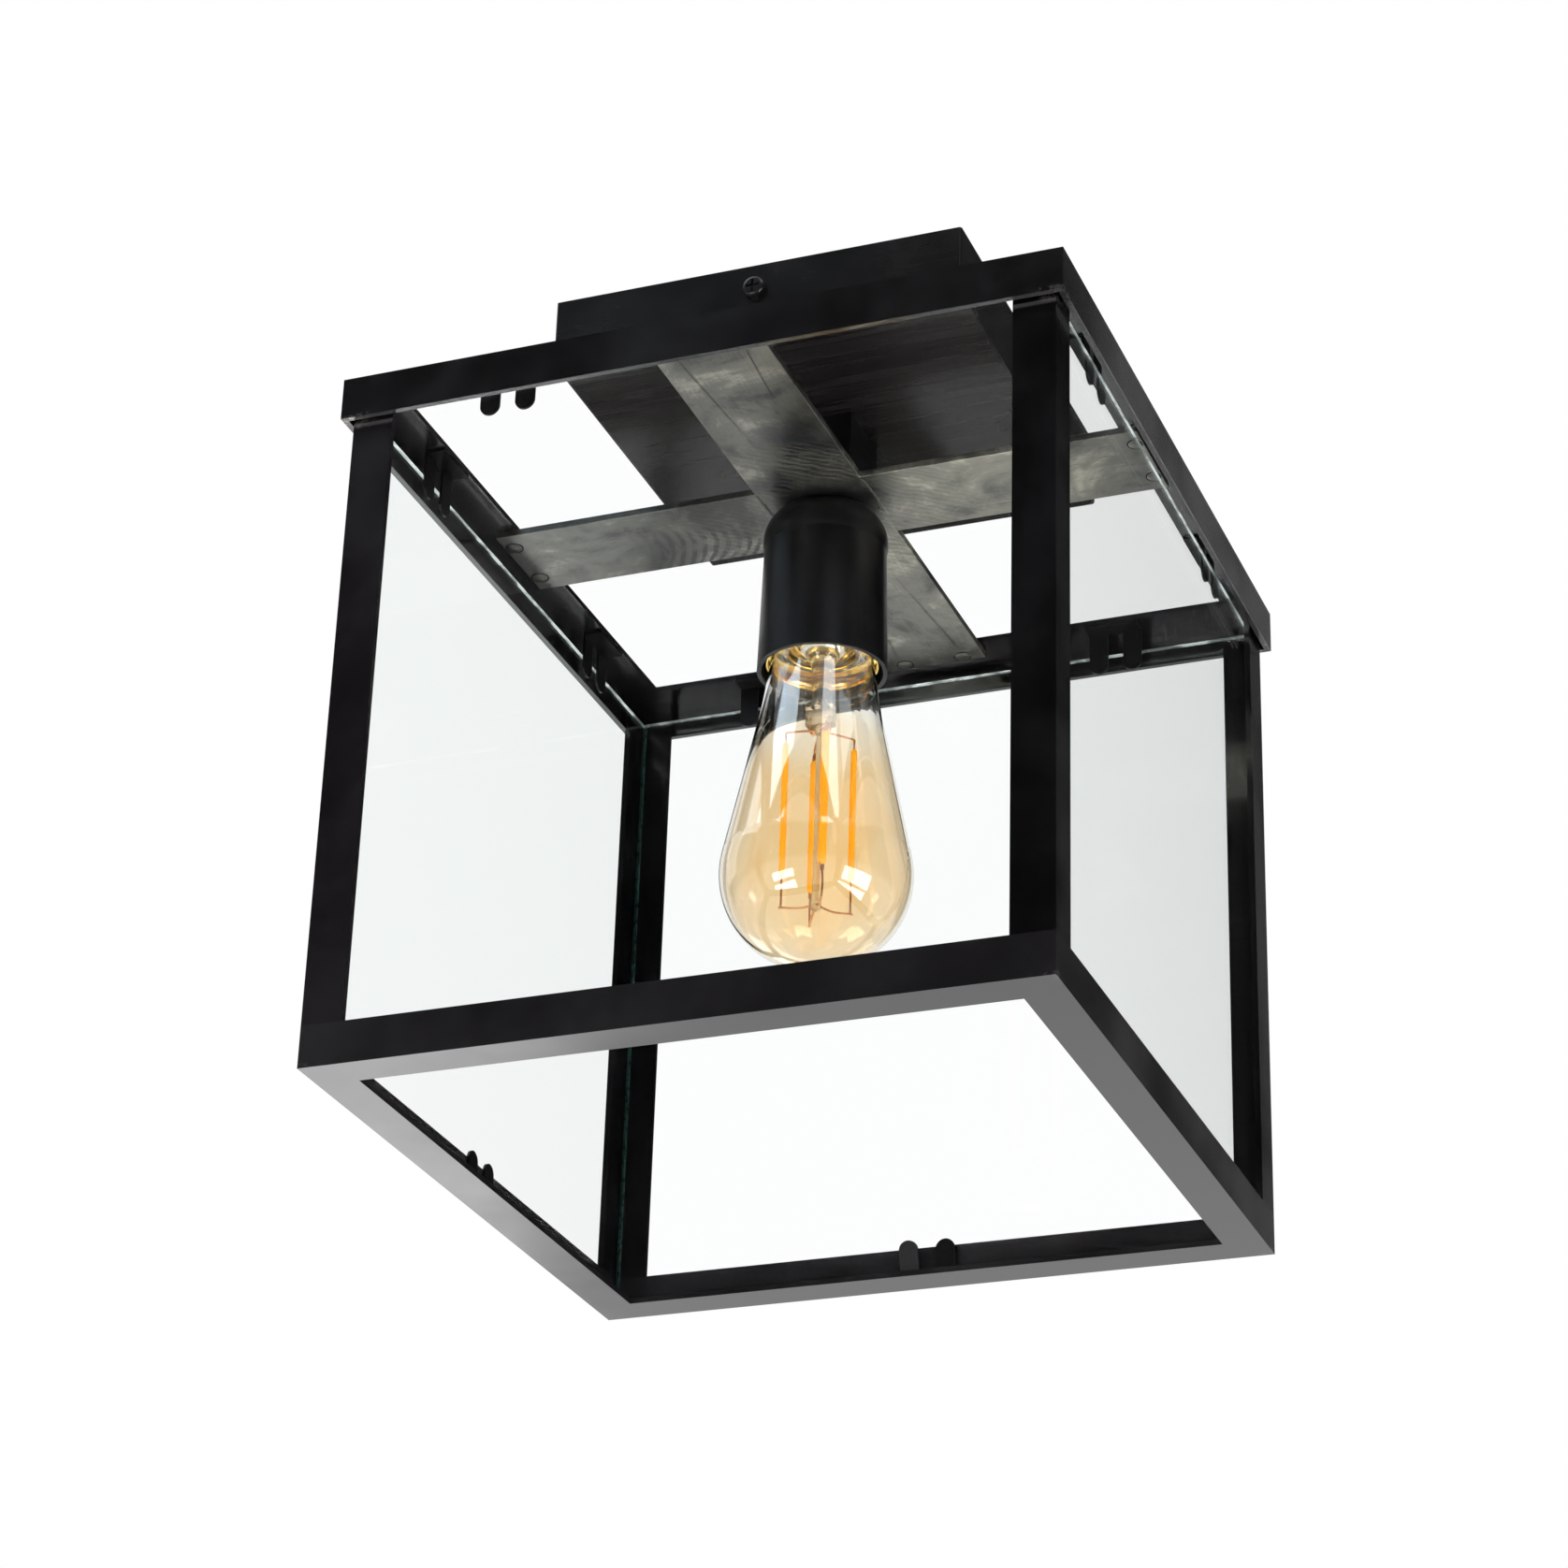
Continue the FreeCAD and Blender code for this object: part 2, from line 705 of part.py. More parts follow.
def glass_outline(inset):
    """Half outline of the blown glass: neck, flared cone and round end."""
    neck_r = cap_r - cap_wall - glass_neck_play - inset
    neck_top = cap_end + glass_seat
    belly_z = cap_end - belly_drop
    r = belly_r - inset
    slope = math.radians(cone_slope)
    tangent = V(r * math.cos(slope), 0, belly_z + r * math.sin(slope))
    low = math.radians(belly_mid_angle)
    middle = V(r * math.cos(low), 0, belly_z + r * math.sin(low))
    tip = V(0, 0, belly_z - r)
    shoulder = V(glass_shoulder_r - inset, 0, cap_end - glass_shoulder_drop)
    cone_top = V(glass_cone_top_r - inset, 0, cap_end - glass_cone_top_drop)
    root = V(neck_r, 0, cap_end - glass_root_drop)
    turn = (root + shoulder) / 2 + V(glass_turn_out, 0, glass_turn_up)
    flare = Part.BSplineCurve()
    hollow = (shoulder + cone_top) / 2 - V(glass_cone_hollow, 0, 0)
    flare.interpolate([shoulder, hollow, cone_top])
    return [Part.makeLine(V(0, 0, neck_top), V(neck_r, 0, neck_top)),
            Part.makeLine(V(neck_r, 0, neck_top), root),
            Part.Arc(root, turn, shoulder).toShape(),
            flare.toShape(),
            Part.makeLine(cone_top, tangent),
            Part.Arc(tangent, middle, tip).toShape(),
            Part.makeLine(tip, V(0, 0, neck_top))]


def bulb_glass():
    """Blown glass envelope, hollow, open where it enters the cap."""
    shell = revolved(glass_outline(0)).cut(revolved(glass_outline(glass_wall)))
    neck_top = cap_end + glass_seat
    mouth = cap_r - cap_wall - glass_neck_play - glass_wall
    return shell.cut(disc(mouth, neck_top - glass_wall, neck_top + past))


def bulb_stem():
    """Glass stem: flare in the neck, tube, flattened press, rod and two beads."""
    neck_r = cap_r - cap_wall - glass_neck_play - glass_wall - stem_seat_play
    top = cap_end + glass_seat
    flare_end = top - stem_flare_length
    tube_end = cap_end - stem_tube_end
    curve = Part.Arc(V(neck_r, 0, top - stem_rim),
                     V(stem_flare_mid_r, 0, top - stem_flare_mid_drop),
                     V(stem_tube_r, 0, flare_end)).toShape()
    outline = chain([V(0, 0, top), V(neck_r, 0, top), V(neck_r, 0, top - stem_rim)])
    outline.append(curve)
    outline += chain([V(stem_tube_r, 0, flare_end), V(stem_tube_r, 0, tube_end),
                      V(0, 0, tube_end), V(0, 0, top)])
    stem = revolved(outline)
    press_end = tube_end - press_height
    press = block(-press_width / 2, press_width / 2, -press_thick / 2, press_thick / 2,
                  press_end, tube_end)
    rod_end = cap_end - lower_hub_drop
    rod = disc(rod_r, rod_end, press_end)
    stem = stem.fuse(press).fuse(rod)
    for level in (press_end - hub_r, rod_end):
        stem = stem.fuse(Part.makeSphere(hub_r, V(0, 0, level)))
    return stem.removeSplitter()


def ring_points():
    """Plan positions of the filaments around the rod."""
    points = []
    for step in range(filament_count):
        angle = math.radians(filament_turn + 360 * step / filament_count)
        points.append((ring_r * math.cos(angle), ring_r * math.sin(angle)))
    return points


def star(hub_z, arm_z, end_z):
    """Wire arms from a bead out to the ring, each with its lead to a filament end."""
    wires = []
    hub = V(0, 0, hub_z)
    bead = Part.makeSphere(hub_r, hub)
    for x, y in ring_points():
        tip = V(x, y, arm_z)
        arm = tip - hub
        wire = Part.makeCylinder(wire_r, arm.Length, hub, arm)
        wire = wire.fuse(Part.makeSphere(wire_r, tip))
        z0, z1 = sorted((arm_z, end_z))
        wire = wire.fuse(disc(wire_r, z0, z1, x, y)).cut(bead)
        wires.append(wire.removeSplitter())
    return wires


def filament_wires():
    """Upper and lower wire stars."""
    upper_hub = cap_end - stem_tube_end - press_height - hub_r
    lower_hub = cap_end - lower_hub_drop
    top = cap_end - filament_top_drop
    upper = star(upper_hub, top + star_rise, top)
    lower = star(lower_hub, lower_hub - star_droop, top - filament_length)
    return upper + lower


def filaments():
    """Upright light strips between the two stars."""
    top = cap_end - filament_top_drop
    return [disc(filament_r, top - filament_length, top, x, y) for x, y in ring_points()]


# ---- write every piece ---------------------------------------------------

def write_cage():
    """Bottom frame, posts, lid, panes and their fingers, side by side."""
    rail, post, top = bottom_rail(), corner_post(), lid_rail()
    between_half = pane_inner - pane_corner_play
    for index, side in enumerate(SIDES):
        angle = 90 * index
        half_length = pane_outer if side in ("left", "right") else between_half
        upper_ends = (-1,) if side == "front" else (-1, 1)
        lean = bent_finger_lean if side == "back" else 0.0
        save("bottom_rail_" + side, turned(rail, angle))
        save("lid_rail_" + side, turned(top, angle))
        save("post_" + CORNERS[index], turned(post, angle))
        save("glass_pane_" + side, turned(pane(half_length), angle))
        save("pane_fingers_" + side, turned(group(pane_fingers(upper_ends, lean)), angle))


def write_cross():
    """Flat bars and rivets."""
    save("cross_bar_long", cross_bar())
    save("cross_arm_right", cross_arm())
    save("cross_arm_left", turned(cross_arm(), 180))
    save("cross_rivets", group(all_rivets()))


def write_canopy():
    """Everything between the ceiling and the cross."""
    screw = side_screw()
    save("canopy_tray", canopy_tray())
    save("canopy_side_screws", group([screw, turned(screw, 180)]))
    save("ceiling_bracket", ceiling_bracket())
    save("terminal_block", terminal_block())
    save("terminal_screws", group(terminal_screws()))
    save("earth_screw", earth_screw())
    save("live_lead", holder_lead(-1))
    save("neutral_lead", holder_lead(1))
    save("earth_lead", earth_lead())
    save("spacer_tube", spacer_tube())
    save("threaded_nipple", nipple())
    save("canopy_nut", hexagon_nut(canopy_floor, nipple_r + thread_play))


def write_lampholder():
    """Cup, nut, insert, terminals, shell and contact."""
    save("lampholder_cup", lampholder_cup())
    save("lampholder_nut", hexagon_nut(holder_top - cup_wall - nut_height,
                                       nipple_r + thread_play))
    save("lampholder_insert", lampholder_insert())
    save("lampholder_terminals", group(lampholder_terminals()))
    save("socket_shell", socket_shell())
    save("centre_contact", centre_contact())


def write_bulb():
    """The bulb's own pieces."""
    save("bulb_cap", bulb_cap())
    save("cap_insulator", cap_insulator())
    save("cap_tip", cap_tip())
    save("bulb_collar", bulb_collar())
    save("bulb_glass", bulb_glass())
    save("bulb_stem", bulb_stem())
    save("filament_wires", group(filament_wires()))
    save("filaments", group(filaments()))


write_cage()
write_cross()
write_canopy()
write_lampholder()
write_bulb()
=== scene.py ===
"""Looks of a box lantern for a porch ceiling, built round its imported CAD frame."""

from __future__ import annotations

import logging
import math
import random
from dataclasses import dataclass, replace
from enum import Enum
from functools import partialmethod
from typing import Sequence

import bmesh
import bpy
from mathutils import Matrix, Vector, noise


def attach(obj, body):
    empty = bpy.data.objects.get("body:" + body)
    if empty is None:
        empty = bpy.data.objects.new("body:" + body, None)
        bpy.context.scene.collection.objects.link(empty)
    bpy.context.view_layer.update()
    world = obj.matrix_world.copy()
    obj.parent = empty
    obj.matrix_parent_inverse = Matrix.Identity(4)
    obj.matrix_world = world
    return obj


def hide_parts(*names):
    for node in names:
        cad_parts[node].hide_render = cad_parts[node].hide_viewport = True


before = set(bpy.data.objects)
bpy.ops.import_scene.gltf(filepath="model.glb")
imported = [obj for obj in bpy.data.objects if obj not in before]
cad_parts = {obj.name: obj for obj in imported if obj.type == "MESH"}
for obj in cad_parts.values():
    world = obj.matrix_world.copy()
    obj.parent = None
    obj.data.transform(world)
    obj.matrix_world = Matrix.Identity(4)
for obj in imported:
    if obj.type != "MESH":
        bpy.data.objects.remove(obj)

LOG = logging.getLogger("box_lantern")
MM = 0.001
GLASS_BOUNCES = 28
SMOOTH_BELOW = math.radians(38.0)
EASED_ABOVE = math.radians(40.0)
EASED_WIDTH = 0.0002
SEAM_GAP = 0.000002
LANTERN, BULB = "lantern", "bulb"

Colour = Point = tuple[float, float, float]
Span = tuple[float, float]
Spot = tuple[float, float, float, float]
Outline = tuple[Span, ...]
Path = tuple[Point, ...]
Socket = bpy.types.NodeSocket

CLOUDED: Span = (0.3, 0.7)


class Grain(Enum):
    """Which way the brushed lines of a metal piece run."""

    ALONG_X = (1.0, 26.0, 26.0)
    ALONG_Y = (26.0, 1.0, 26.0)
    ALONG_Z = (26.0, 26.0, 1.0)


# ---- node tools ------------------------------------------------------------


class Wiring:
    """Short ways to add and link the nodes of one tree."""

    def __init__(self, owner: bpy.types.Material | bpy.types.World) -> None:
        """Empty the owner's node tree."""
        owner.use_nodes = True
        owner.node_tree.nodes.clear()
        self.nodes, self.links = owner.node_tree.nodes, owner.node_tree.links

    def plug(self, socket: Socket, item: object) -> None:
        """Link a source to a socket, or give the socket a plain value."""
        if isinstance(item, Socket):
            self.links.new(item, socket)
        else:
            socket.default_value = (*item, 1.0) if socket.type == "RGBA" else item

    def fill(self, node: bpy.types.Node, inputs: dict[str, object]) -> None:
        """Plug a node's inputs by name, spaces written as underscores."""
        for name, item in inputs.items():
            self.plug(node.inputs[name.replace("_", " ")], item)

    def add(self, kind: str, **inputs: object) -> bpy.types.Node:
        """A new shader node with its named inputs plugged."""
        node = self.nodes.new("ShaderNode" + kind)
        self.fill(node, inputs)
        return node

    def math(self, operation: str, first: object, second: object = 0.0,
             clamp: bool = False) -> Socket:
        """One step of arithmetic on sockets or numbers.

        Args:
            operation: the Math node's operation.
            first: a socket or a number.
            second: a socket or a number.
            clamp: keep the result from 0 to 1.

        Returns:
            The value socket.
        """
        node = self.add("Math")
        node.operation, node.use_clamp = operation, clamp
        self.plug(node.inputs[0], first)
        self.plug(node.inputs[1], second)
        return node.outputs[0]

    plus = partialmethod(math, "ADD")
    less = partialmethod(math, "SUBTRACT")
    times = partialmethod(math, "MULTIPLY")
    most = partialmethod(math, "MAXIMUM")
    size = partialmethod(math, "ABSOLUTE")

    def weigh(self, first: Socket, one: float, second: Socket, other: float) -> Socket:
        """The sum of two values, each times its own weight."""
        return self.plus(self.times(first, one), self.times(second, other))

    def reach(self, across: Socket, deep: Socket) -> Socket:
        """How far a place is from the axis."""
        return self.math("SQRT", self.plus(self.times(across, across), self.times(deep, deep)))

    def band(self, value: Socket, low: float, high: float, start: float = 0.0,
             end: float = 1.0) -> Socket:
        """A value that goes smoothly from start to end as another goes from low to high."""
        node = self.add("MapRange", Value=value, From_Min=low, From_Max=high, To_Min=start,
                        To_Max=end)
        node.interpolation_type = "SMOOTHSTEP"
        return node.outputs["Result"]


class NodeBench(Wiring):
    """A material with one Principled shader, and its patterns."""

    def __init__(self, name: str) -> None:
        """Start the material of that name."""
        self.material = bpy.data.materials.new(name)
        super().__init__(self.material)
        self.shader = self.add("BsdfPrincipled")
        self.output = self.add("OutputMaterial", Surface=self.shader.outputs["BSDF"])

    def set(self, **inputs: object) -> None:
        """Plug the shader's inputs, spaces written as underscores."""
        self.fill(self.shader, inputs)

    def place(self, stretch: Sequence[float] = (1.0, 1.0, 1.0),
              turn: Sequence[float] = (0.0, 0.0, 0.0)) -> Socket:
        """The place on the object in metres, stretched and turned.

        Args:
            stretch: how many times finer the pattern is along each axis.
            turn: rotation about each axis in radians.

        Returns:
            The vector socket.
        """
        where = self.add("TexCoord").outputs["Object"]
        return self.add("Mapping", Vector=where, Scale=stretch, Rotation=turn).outputs["Vector"]

    def axes(self) -> tuple[Socket, ...]:
        """The place on the object in metres as three values."""
        return tuple(self.add("SeparateXYZ", Vector=self.place()).outputs[:3])

    def noise(self, where: Socket, scale: float, detail: float = 4.0, roughness: float = 0.55,
              distortion: float = 0.0) -> Socket:
        """Cloudy noise.

        Args:
            where: the place to read.
            scale: features per metre.
            detail: octaves.
            roughness: weight of the finer octaves.
            distortion: how much it swirls.

        Returns:
            A value socket from 0 to 1.
        """
        return self.add("TexNoise", Vector=where, Scale=scale, Detail=detail,
                        Roughness=roughness, Distortion=distortion).outputs["Fac"]

    def waves(self, where: Socket, scale: float, distortion: float) -> Socket:
        """Parallel bands, so many per metre, more or less wavy."""
        return self.add("TexWave", Vector=where, Scale=scale, Distortion=distortion,
                        Detail=3.0).outputs["Fac"]

    def blend(self, share: object, first: object, second: object, mode: str = "MIX") -> Socket:
        """A mix of two colours.

        Args:
            share: how much of the second.
            first: a colour or a colour socket.
            second: a colour or a colour socket.
            mode: the way they mix.

        Returns:
            The colour socket.
        """
        node = self.add("Mix")
        node.data_type, node.blend_type = "RGBA", mode
        for index, item in ((0, share), (6, first), (7, second)):
            self.plug(node.inputs[index], item)
        return node.outputs[2]

    def bump(self, height: Socket, depth: float, strength: float = 0.5) -> None:
        """Raise the surface by a height map, depth metres at most."""
        node = self.add("Bump", Strength=strength, Distance=depth, Height=height)
        self.set(Normal=node.outputs["Normal"])


# ---- finishes --------------------------------------------------------------


@dataclass(frozen=True)
class BlackenedSteel:
    """Satin blackened steel with cloudy patina, fine lines and bare corners.

    Places are in metres. Where set, a painted sheen lightens the outer face at the right, more
    towards the back.
    """

    name: str
    dark: Colour
    light: Colour
    rough: Span = (0.14, 0.24)
    index: float = 1.68
    painted_sheen: Colour | None = None
    outer_face: Span = (0.1226, 0.1230)
    sheen_run: Span = (-0.122, -0.050)
    bare: Colour = (0.20, 0.19, 0.175)
    corner: float = 0.1215
    corner_reach: Span = (0.001, 0.011)
    skirt_level: float = -0.0660
    foot_level: float = -0.2940
    edge_reach: float = 0.0022
    cloud_scale: float = 22.0
    line_scale: float = 34.0
    grit_scale: float = 900.0
    worn_scale: float = 260.0

    def make(self, grain: Grain) -> bpy.types.Material:
        """The material for rails or posts whose lines run along the grain."""
        bench = NodeBench(self.name + "_" + grain.name.lower())
        clouds = bench.noise(bench.place(), self.cloud_scale, 5.0, 0.6)
        lines = bench.noise(bench.place(grain.value), self.line_scale, 4.0, 0.7)
        tone = bench.weigh(bench.band(clouds, *CLOUDED), 0.7, lines, 0.3)
        colour = bench.blend(tone, self.dark, self.light)
        # painted sheen: the outer face at the right is lightened, more towards the back, in place
        # of a reflection
        if self.painted_sheen:
            x, y, _ = bench.axes()
            outside = bench.times(bench.band(x, *self.outer_face),
                                  bench.band(y, *self.sheen_run, 0.12, 1.0))
            wear_and_sheen = bench.times(outside, bench.band(clouds, 0.25, 0.6, 0.75, 1.0))
            colour = bench.blend(wear_and_sheen, colour, self.painted_sheen)
        bare = self.bare_corners(bench)
        bench.set(Base_Color=bench.blend(bare, colour, self.bare), Metallic=bare,
                  Roughness=bench.band(clouds, *CLOUDED, *self.rough), IOR=self.index)
        grit = bench.noise(bench.place(), self.grit_scale, 2.0)
        bench.bump(bench.plus(lines, grit), 0.000006, 0.3)
        return bench.material

    def bare_corners(self, bench: NodeBench) -> Socket:
        """Where handling has bared the corners to bright steel, 1 on bare steel."""
        x, y, z = bench.axes()
        away = bench.reach(*(bench.less(bench.size(value), self.corner) for value in (x, y)))
        level = bench.math("MINIMUM", *(bench.size(bench.less(z, edge)) for edge in (
            self.foot_level, self.skirt_level)))
        near = bench.times(bench.band(away, *self.corner_reach, 1.0, 0.0),
                           bench.band(level, 0.0, self.edge_reach, 1.0, 0.0))
        wear_and_sheen = bench.band(bench.noise(bench.place(), self.worn_scale, 4.0, 0.7), 0.44, 0.64)
        return bench.times(near, wear_and_sheen, clamp=True)


@dataclass(frozen=True)
class RawSteel:
    """Bare flat bar: brushed, mottled by heat, sanded near the middle, with painted light and
    painted shade.

    Each heat spot has its middle in x and y, its radius, and how dark its middle is.
    """

    dark: Colour = (0.080, 0.081, 0.078)
    middle: Colour = (0.172, 0.169, 0.153)
    pale: Colour = (0.37, 0.355, 0.305)
    burnt_and_shaded: Colour = (0.040, 0.045, 0.058)
    burn_and_shadow_reach: Span = (0.02, 0.036)
    sanded_out: Span = (0.030, 0.065)
    painted_shade_tint: Colour = (0.80, 0.81, 0.82)
    painted_light_tint: Colour = (1.46, 1.44, 1.36)
    painted_light_rise: Span = (-0.05, 0.07)
    painted_light_fall: Span = (0.075, 0.108)
    scored_from: Span = (-0.074, -0.056)
    scored_to: Span = (-0.032, -0.022)
    scored_side: Span = (-0.010, 0.004)
    score_bow: float = 22.0
    score_scale: float = 78.0
    cloud_scale: float = 38.0
    line_scale: float = 60.0
    swirl_scale: float = 120.0
    heat_spots: tuple[Spot, ...] = (
        (0.006, -0.052, 0.017, 0.55), (-0.010, -0.024, 0.012, 0.6), (-0.068, 0.006, 0.011, 0.3),
        (0.004, -0.082, 0.010, 0.25))

    def make(self, grain: Grain, name: str = "raw_steel") -> bpy.types.Material:
        """The material for bars whose brushing runs along the grain."""
        bench = NodeBench(name + "_" + grain.name.lower())
        clouds = bench.noise(bench.place(), self.cloud_scale, 7.0, 0.68, 0.5)
        lines = bench.noise(bench.place(grain.value), self.line_scale, 5.0, 0.75)
        tone = bench.weigh(clouds, 0.82, lines, 0.18)
        low = bench.blend(bench.band(tone, 0.36, 0.52), self.dark, self.middle)
        colour = bench.blend(bench.band(tone, 0.52, 0.66), low, self.pale)
        x, y, _ = bench.axes()
        away = bench.reach(x, y)
        # the middle round the cup is darkened partly by heat tint and partly by a painted shadow
        # of the cup
        burn_and_shadow = bench.band(bench.plus(away, bench.times(clouds, 0.02)), *self.burn_and_shadow_reach, 0.75, 0.0)
        for spot in self.heat_spots:
            burn_and_shadow = bench.most(burn_and_shadow, self.heat(bench, x, y, clouds, spot))
        # painted light and shade: the bar is made lighter and warmer from the middle over the
        # right arm, most near x = 0.07 m and less at its far end, and darker elsewhere
        painted_light_share = bench.times(bench.band(x, *self.painted_light_rise),
                           bench.band(x, *self.painted_light_fall, 1.0, 0.25))
        tint = bench.blend(painted_light_share, self.painted_shade_tint, self.painted_light_tint)
        lit_and_shaded = bench.blend(1.0, colour, tint, "MULTIPLY")
        swirl = bench.waves(bench.place(turn=(0.0, 0.0, 0.9)), self.swirl_scale, 6.0)
        sanded = bench.times(swirl, bench.band(away, *self.sanded_out, 1.0, 0.0))
        scored = self.scoring(bench, x, y)
        colour = bench.blend(bench.times(sanded, 0.10), bench.blend(burn_and_shadow, lit_and_shaded, self.burnt_and_shaded),
                             self.pale)
        relief = bench.plus(lines, sanded)
        bench.set(Base_Color=bench.blend(scored, colour, self.dark), Metallic=1.0,
                  Roughness=bench.band(relief, 0.4, 1.3, 0.34, 0.6))
        bench.bump(bench.less(relief, scored), 0.00003, 0.4)
        return bench.material

    def heat(self, bench: NodeBench, x: Socket, y: Socket, clouds: Socket, spot: Spot) -> Socket:
        """One soft spot of blue-black heat tint.

        Args:
            bench: the material's bench.
            x: the place across.
            y: the place in depth.
            clouds: noise that frays the spot.
            spot: one of the heat spots.

        Returns:
            A value socket, 0 outside the spot.
        """
        across, deep, radius, share = spot
        away = bench.reach(bench.less(x, across), bench.less(y, deep))
        frayed = bench.plus(away, bench.times(clouds, radius * 0.6))
        return bench.band(frayed, radius * 0.5, radius * 1.3, share, 0.0)

    def scoring(self, bench: NodeBench, x: Socket, y: Socket) -> Socket:
        """Curved grinding marks across the inner end of the left arm, 1 in the marks."""
        bow = bench.times(bench.times(y, y), self.score_bow)
        where = bench.add("CombineXYZ", X=bench.plus(x, bow), Y=y).outputs[0]
        marks = bench.band(bench.waves(where, self.score_scale, 3.0), 0.38, 0.80)
        along = bench.times(bench.band(x, *self.scored_from),
                            bench.band(x, *self.scored_to, 1.0, 0.0))
        zone = bench.times(along, bench.band(y, *self.scored_side))
        patchy = bench.band(bench.noise(bench.place(), 90.0, 3.0), 0.28, 0.5)
        return bench.times(bench.times(marks, zone), patchy, clamp=True)


@dataclass(frozen=True)
class SatinPaint:
    """Satin dark coat with fine drawn lines and painted reflection bands, and an underside
    lightened by a painted reflection where `under` is set.
    """

    name: str = "canopy_steel"
    dark: Colour = (0.0055, 0.0050, 0.0048)
    light: Colour = (0.0135, 0.0120, 0.0112)
    index: float = 1.32
    rough: Span = (0.22, 0.28)
    under: Colour | None = None
    under_level: float = -0.0248
    cloud_scale: float = 26.0
    line_scale: float = 28.0
    painted_band_scale: float = 34.0
    drawn_scale: float = 60.0

    def make(self, grain: Grain = Grain.ALONG_X) -> bpy.types.Material:
        """The material, with its drawn lines along the grain."""
        bench = NodeBench(self.name)
        clouds = bench.noise(bench.place(), self.cloud_scale, 5.0, 0.6)
        lines = bench.noise(bench.place(grain.value), self.line_scale, 4.0, 0.7)
        # painted reflection: broad soft bands of lighter and darker tone across the coat stand in
        # for reflected bands
        painted_reflection_bands = bench.noise(bench.place((0.25, 1.0, 1.0)), self.painted_band_scale, 2.0, 0.4)
        tone = bench.weigh(bench.plus(clouds, painted_reflection_bands), 0.42, lines, 0.16)
        colour = bench.blend(bench.band(tone, 0.38, 0.62), self.dark, self.light)
        # painted reflection: the underside is lightened, in fine drawn lines, below `under_level`
        if self.under:
            below = bench.band(bench.axes()[2], self.under_level, self.under_level + 0.0001,
                               1.0, 0.0)
            fine = bench.noise(bench.place((0.2, 7.0, 7.0)), self.drawn_scale, 3.0)
            drawn = bench.band(bench.band(fine, 0.35, 0.7), 0.0, 1.0, 0.55, 1.0)
            colour = bench.blend(bench.times(drawn, below), colour, self.under)
        bench.set(Base_Color=colour, Roughness=bench.band(clouds, *CLOUDED, *self.rough),
                  IOR=self.index)
        bench.bump(bench.noise(bench.place(), 1200.0, 2.0), 0.000006, 0.3)
        return bench.material


@dataclass(frozen=True)
class Moulded:
    """Moulded plastic or ceramic with a faint orange-peel skin."""

    name: str
    colour: Colour
    rough: float = 0.45
    peel: float = 0.00003
    index: float = 1.5
    shade: float = 0.82
    rough_swing: float = 0.12

    def make(self) -> bpy.types.Material:
        """The material."""
        bench = NodeBench(self.name)
        clouds = bench.noise(bench.place(), 45.0, 4.0)
        shaded = tuple(channel * self.shade for channel in self.colour)
        smooth, coarse = (self.rough * (1.0 + way * self.rough_swing) for way in (-1, 1))
        bench.set(Base_Color=bench.blend(bench.band(clouds, 0.35, 0.7), shaded, self.colour),
                  Roughness=bench.band(clouds, *CLOUDED, smooth, coarse), IOR=self.index)
        bench.bump(bench.noise(bench.place(), 1400.0, 2.0), self.peel)
        return bench.material


@dataclass(frozen=True)
class PlatedMetal:
    """Plated or polished metal with faint spots and handling marks."""

    name: str
    colour: Colour
    spot: Colour
    rough: Span

    def make(self) -> bpy.types.Material:
        """The material."""
        bench = NodeBench(self.name)
        clouds = bench.noise(bench.place(), 120.0, 5.0, 0.6)
        spots = bench.band(clouds, 0.45, 0.75)
        bench.set(Base_Color=bench.blend(spots, self.colour, self.spot), Metallic=1.0,
                  Roughness=bench.band(clouds, *CLOUDED, *self.rough))
        bench.bump(bench.noise(bench.place(), 700.0, 3.0), 0.00003, 0.35)
        return bench.material


@dataclass(frozen=True)
class ClearGlass:
    """Clear or tinted glass of the bulb.

    The tint fades out upward between the levels of `fade`, and milk thickens downward
    between those of `milk_fade`, in metres.
    """

    name: str
    tint: Colour
    index: float = 1.5
    fade: Span | None = None
    clear: Colour = (0.985, 0.985, 0.98)
    deep: Colour = (0.985, 0.765, 0.475)
    pool_scale: float = 62.0
    milk: float = 0.0
    milk_fade: Span = (-0.137, -0.131)
    painted_rim_sheen: float = 0.0
    painted_rim_sheen_colour: Colour = (1.0, 0.992, 0.975)
    painted_rim_sheen_spread: float = 0.55

    def make(self) -> bpy.types.Material:
        """The material."""
        bench = NodeBench(self.name)
        bench.set(Base_Color=self.tint, Transmission_Weight=1.0, Roughness=self.milk * 0.3,
                  IOR=self.index)
        if self.milk:
            bench.set(Transmission_Weight=bench.band(bench.axes()[2], *self.milk_fade,
                                                     1.0 - self.milk, 0.96))
        if self.fade:
            fluid = bench.noise(bench.place((1.0, 1.0, 0.4)), self.pool_scale, 2.0, 0.4, 0.6)
            coat = bench.blend(bench.band(fluid, 0.42, 0.66), self.tint, self.deep)
            tint = bench.blend(bench.band(bench.axes()[2], *self.fade), coat, self.clear)
            # painted reflection: towards the rims the tint pales nearly to white in place of
            # reflections
            edge = bench.add("LayerWeight", Blend=self.painted_rim_sheen_spread).outputs["Facing"]
            thin = bench.times(edge, self.painted_rim_sheen, clamp=True)
            bench.set(Base_Color=bench.blend(thin, tint, self.painted_rim_sheen_colour))
        return bench.material


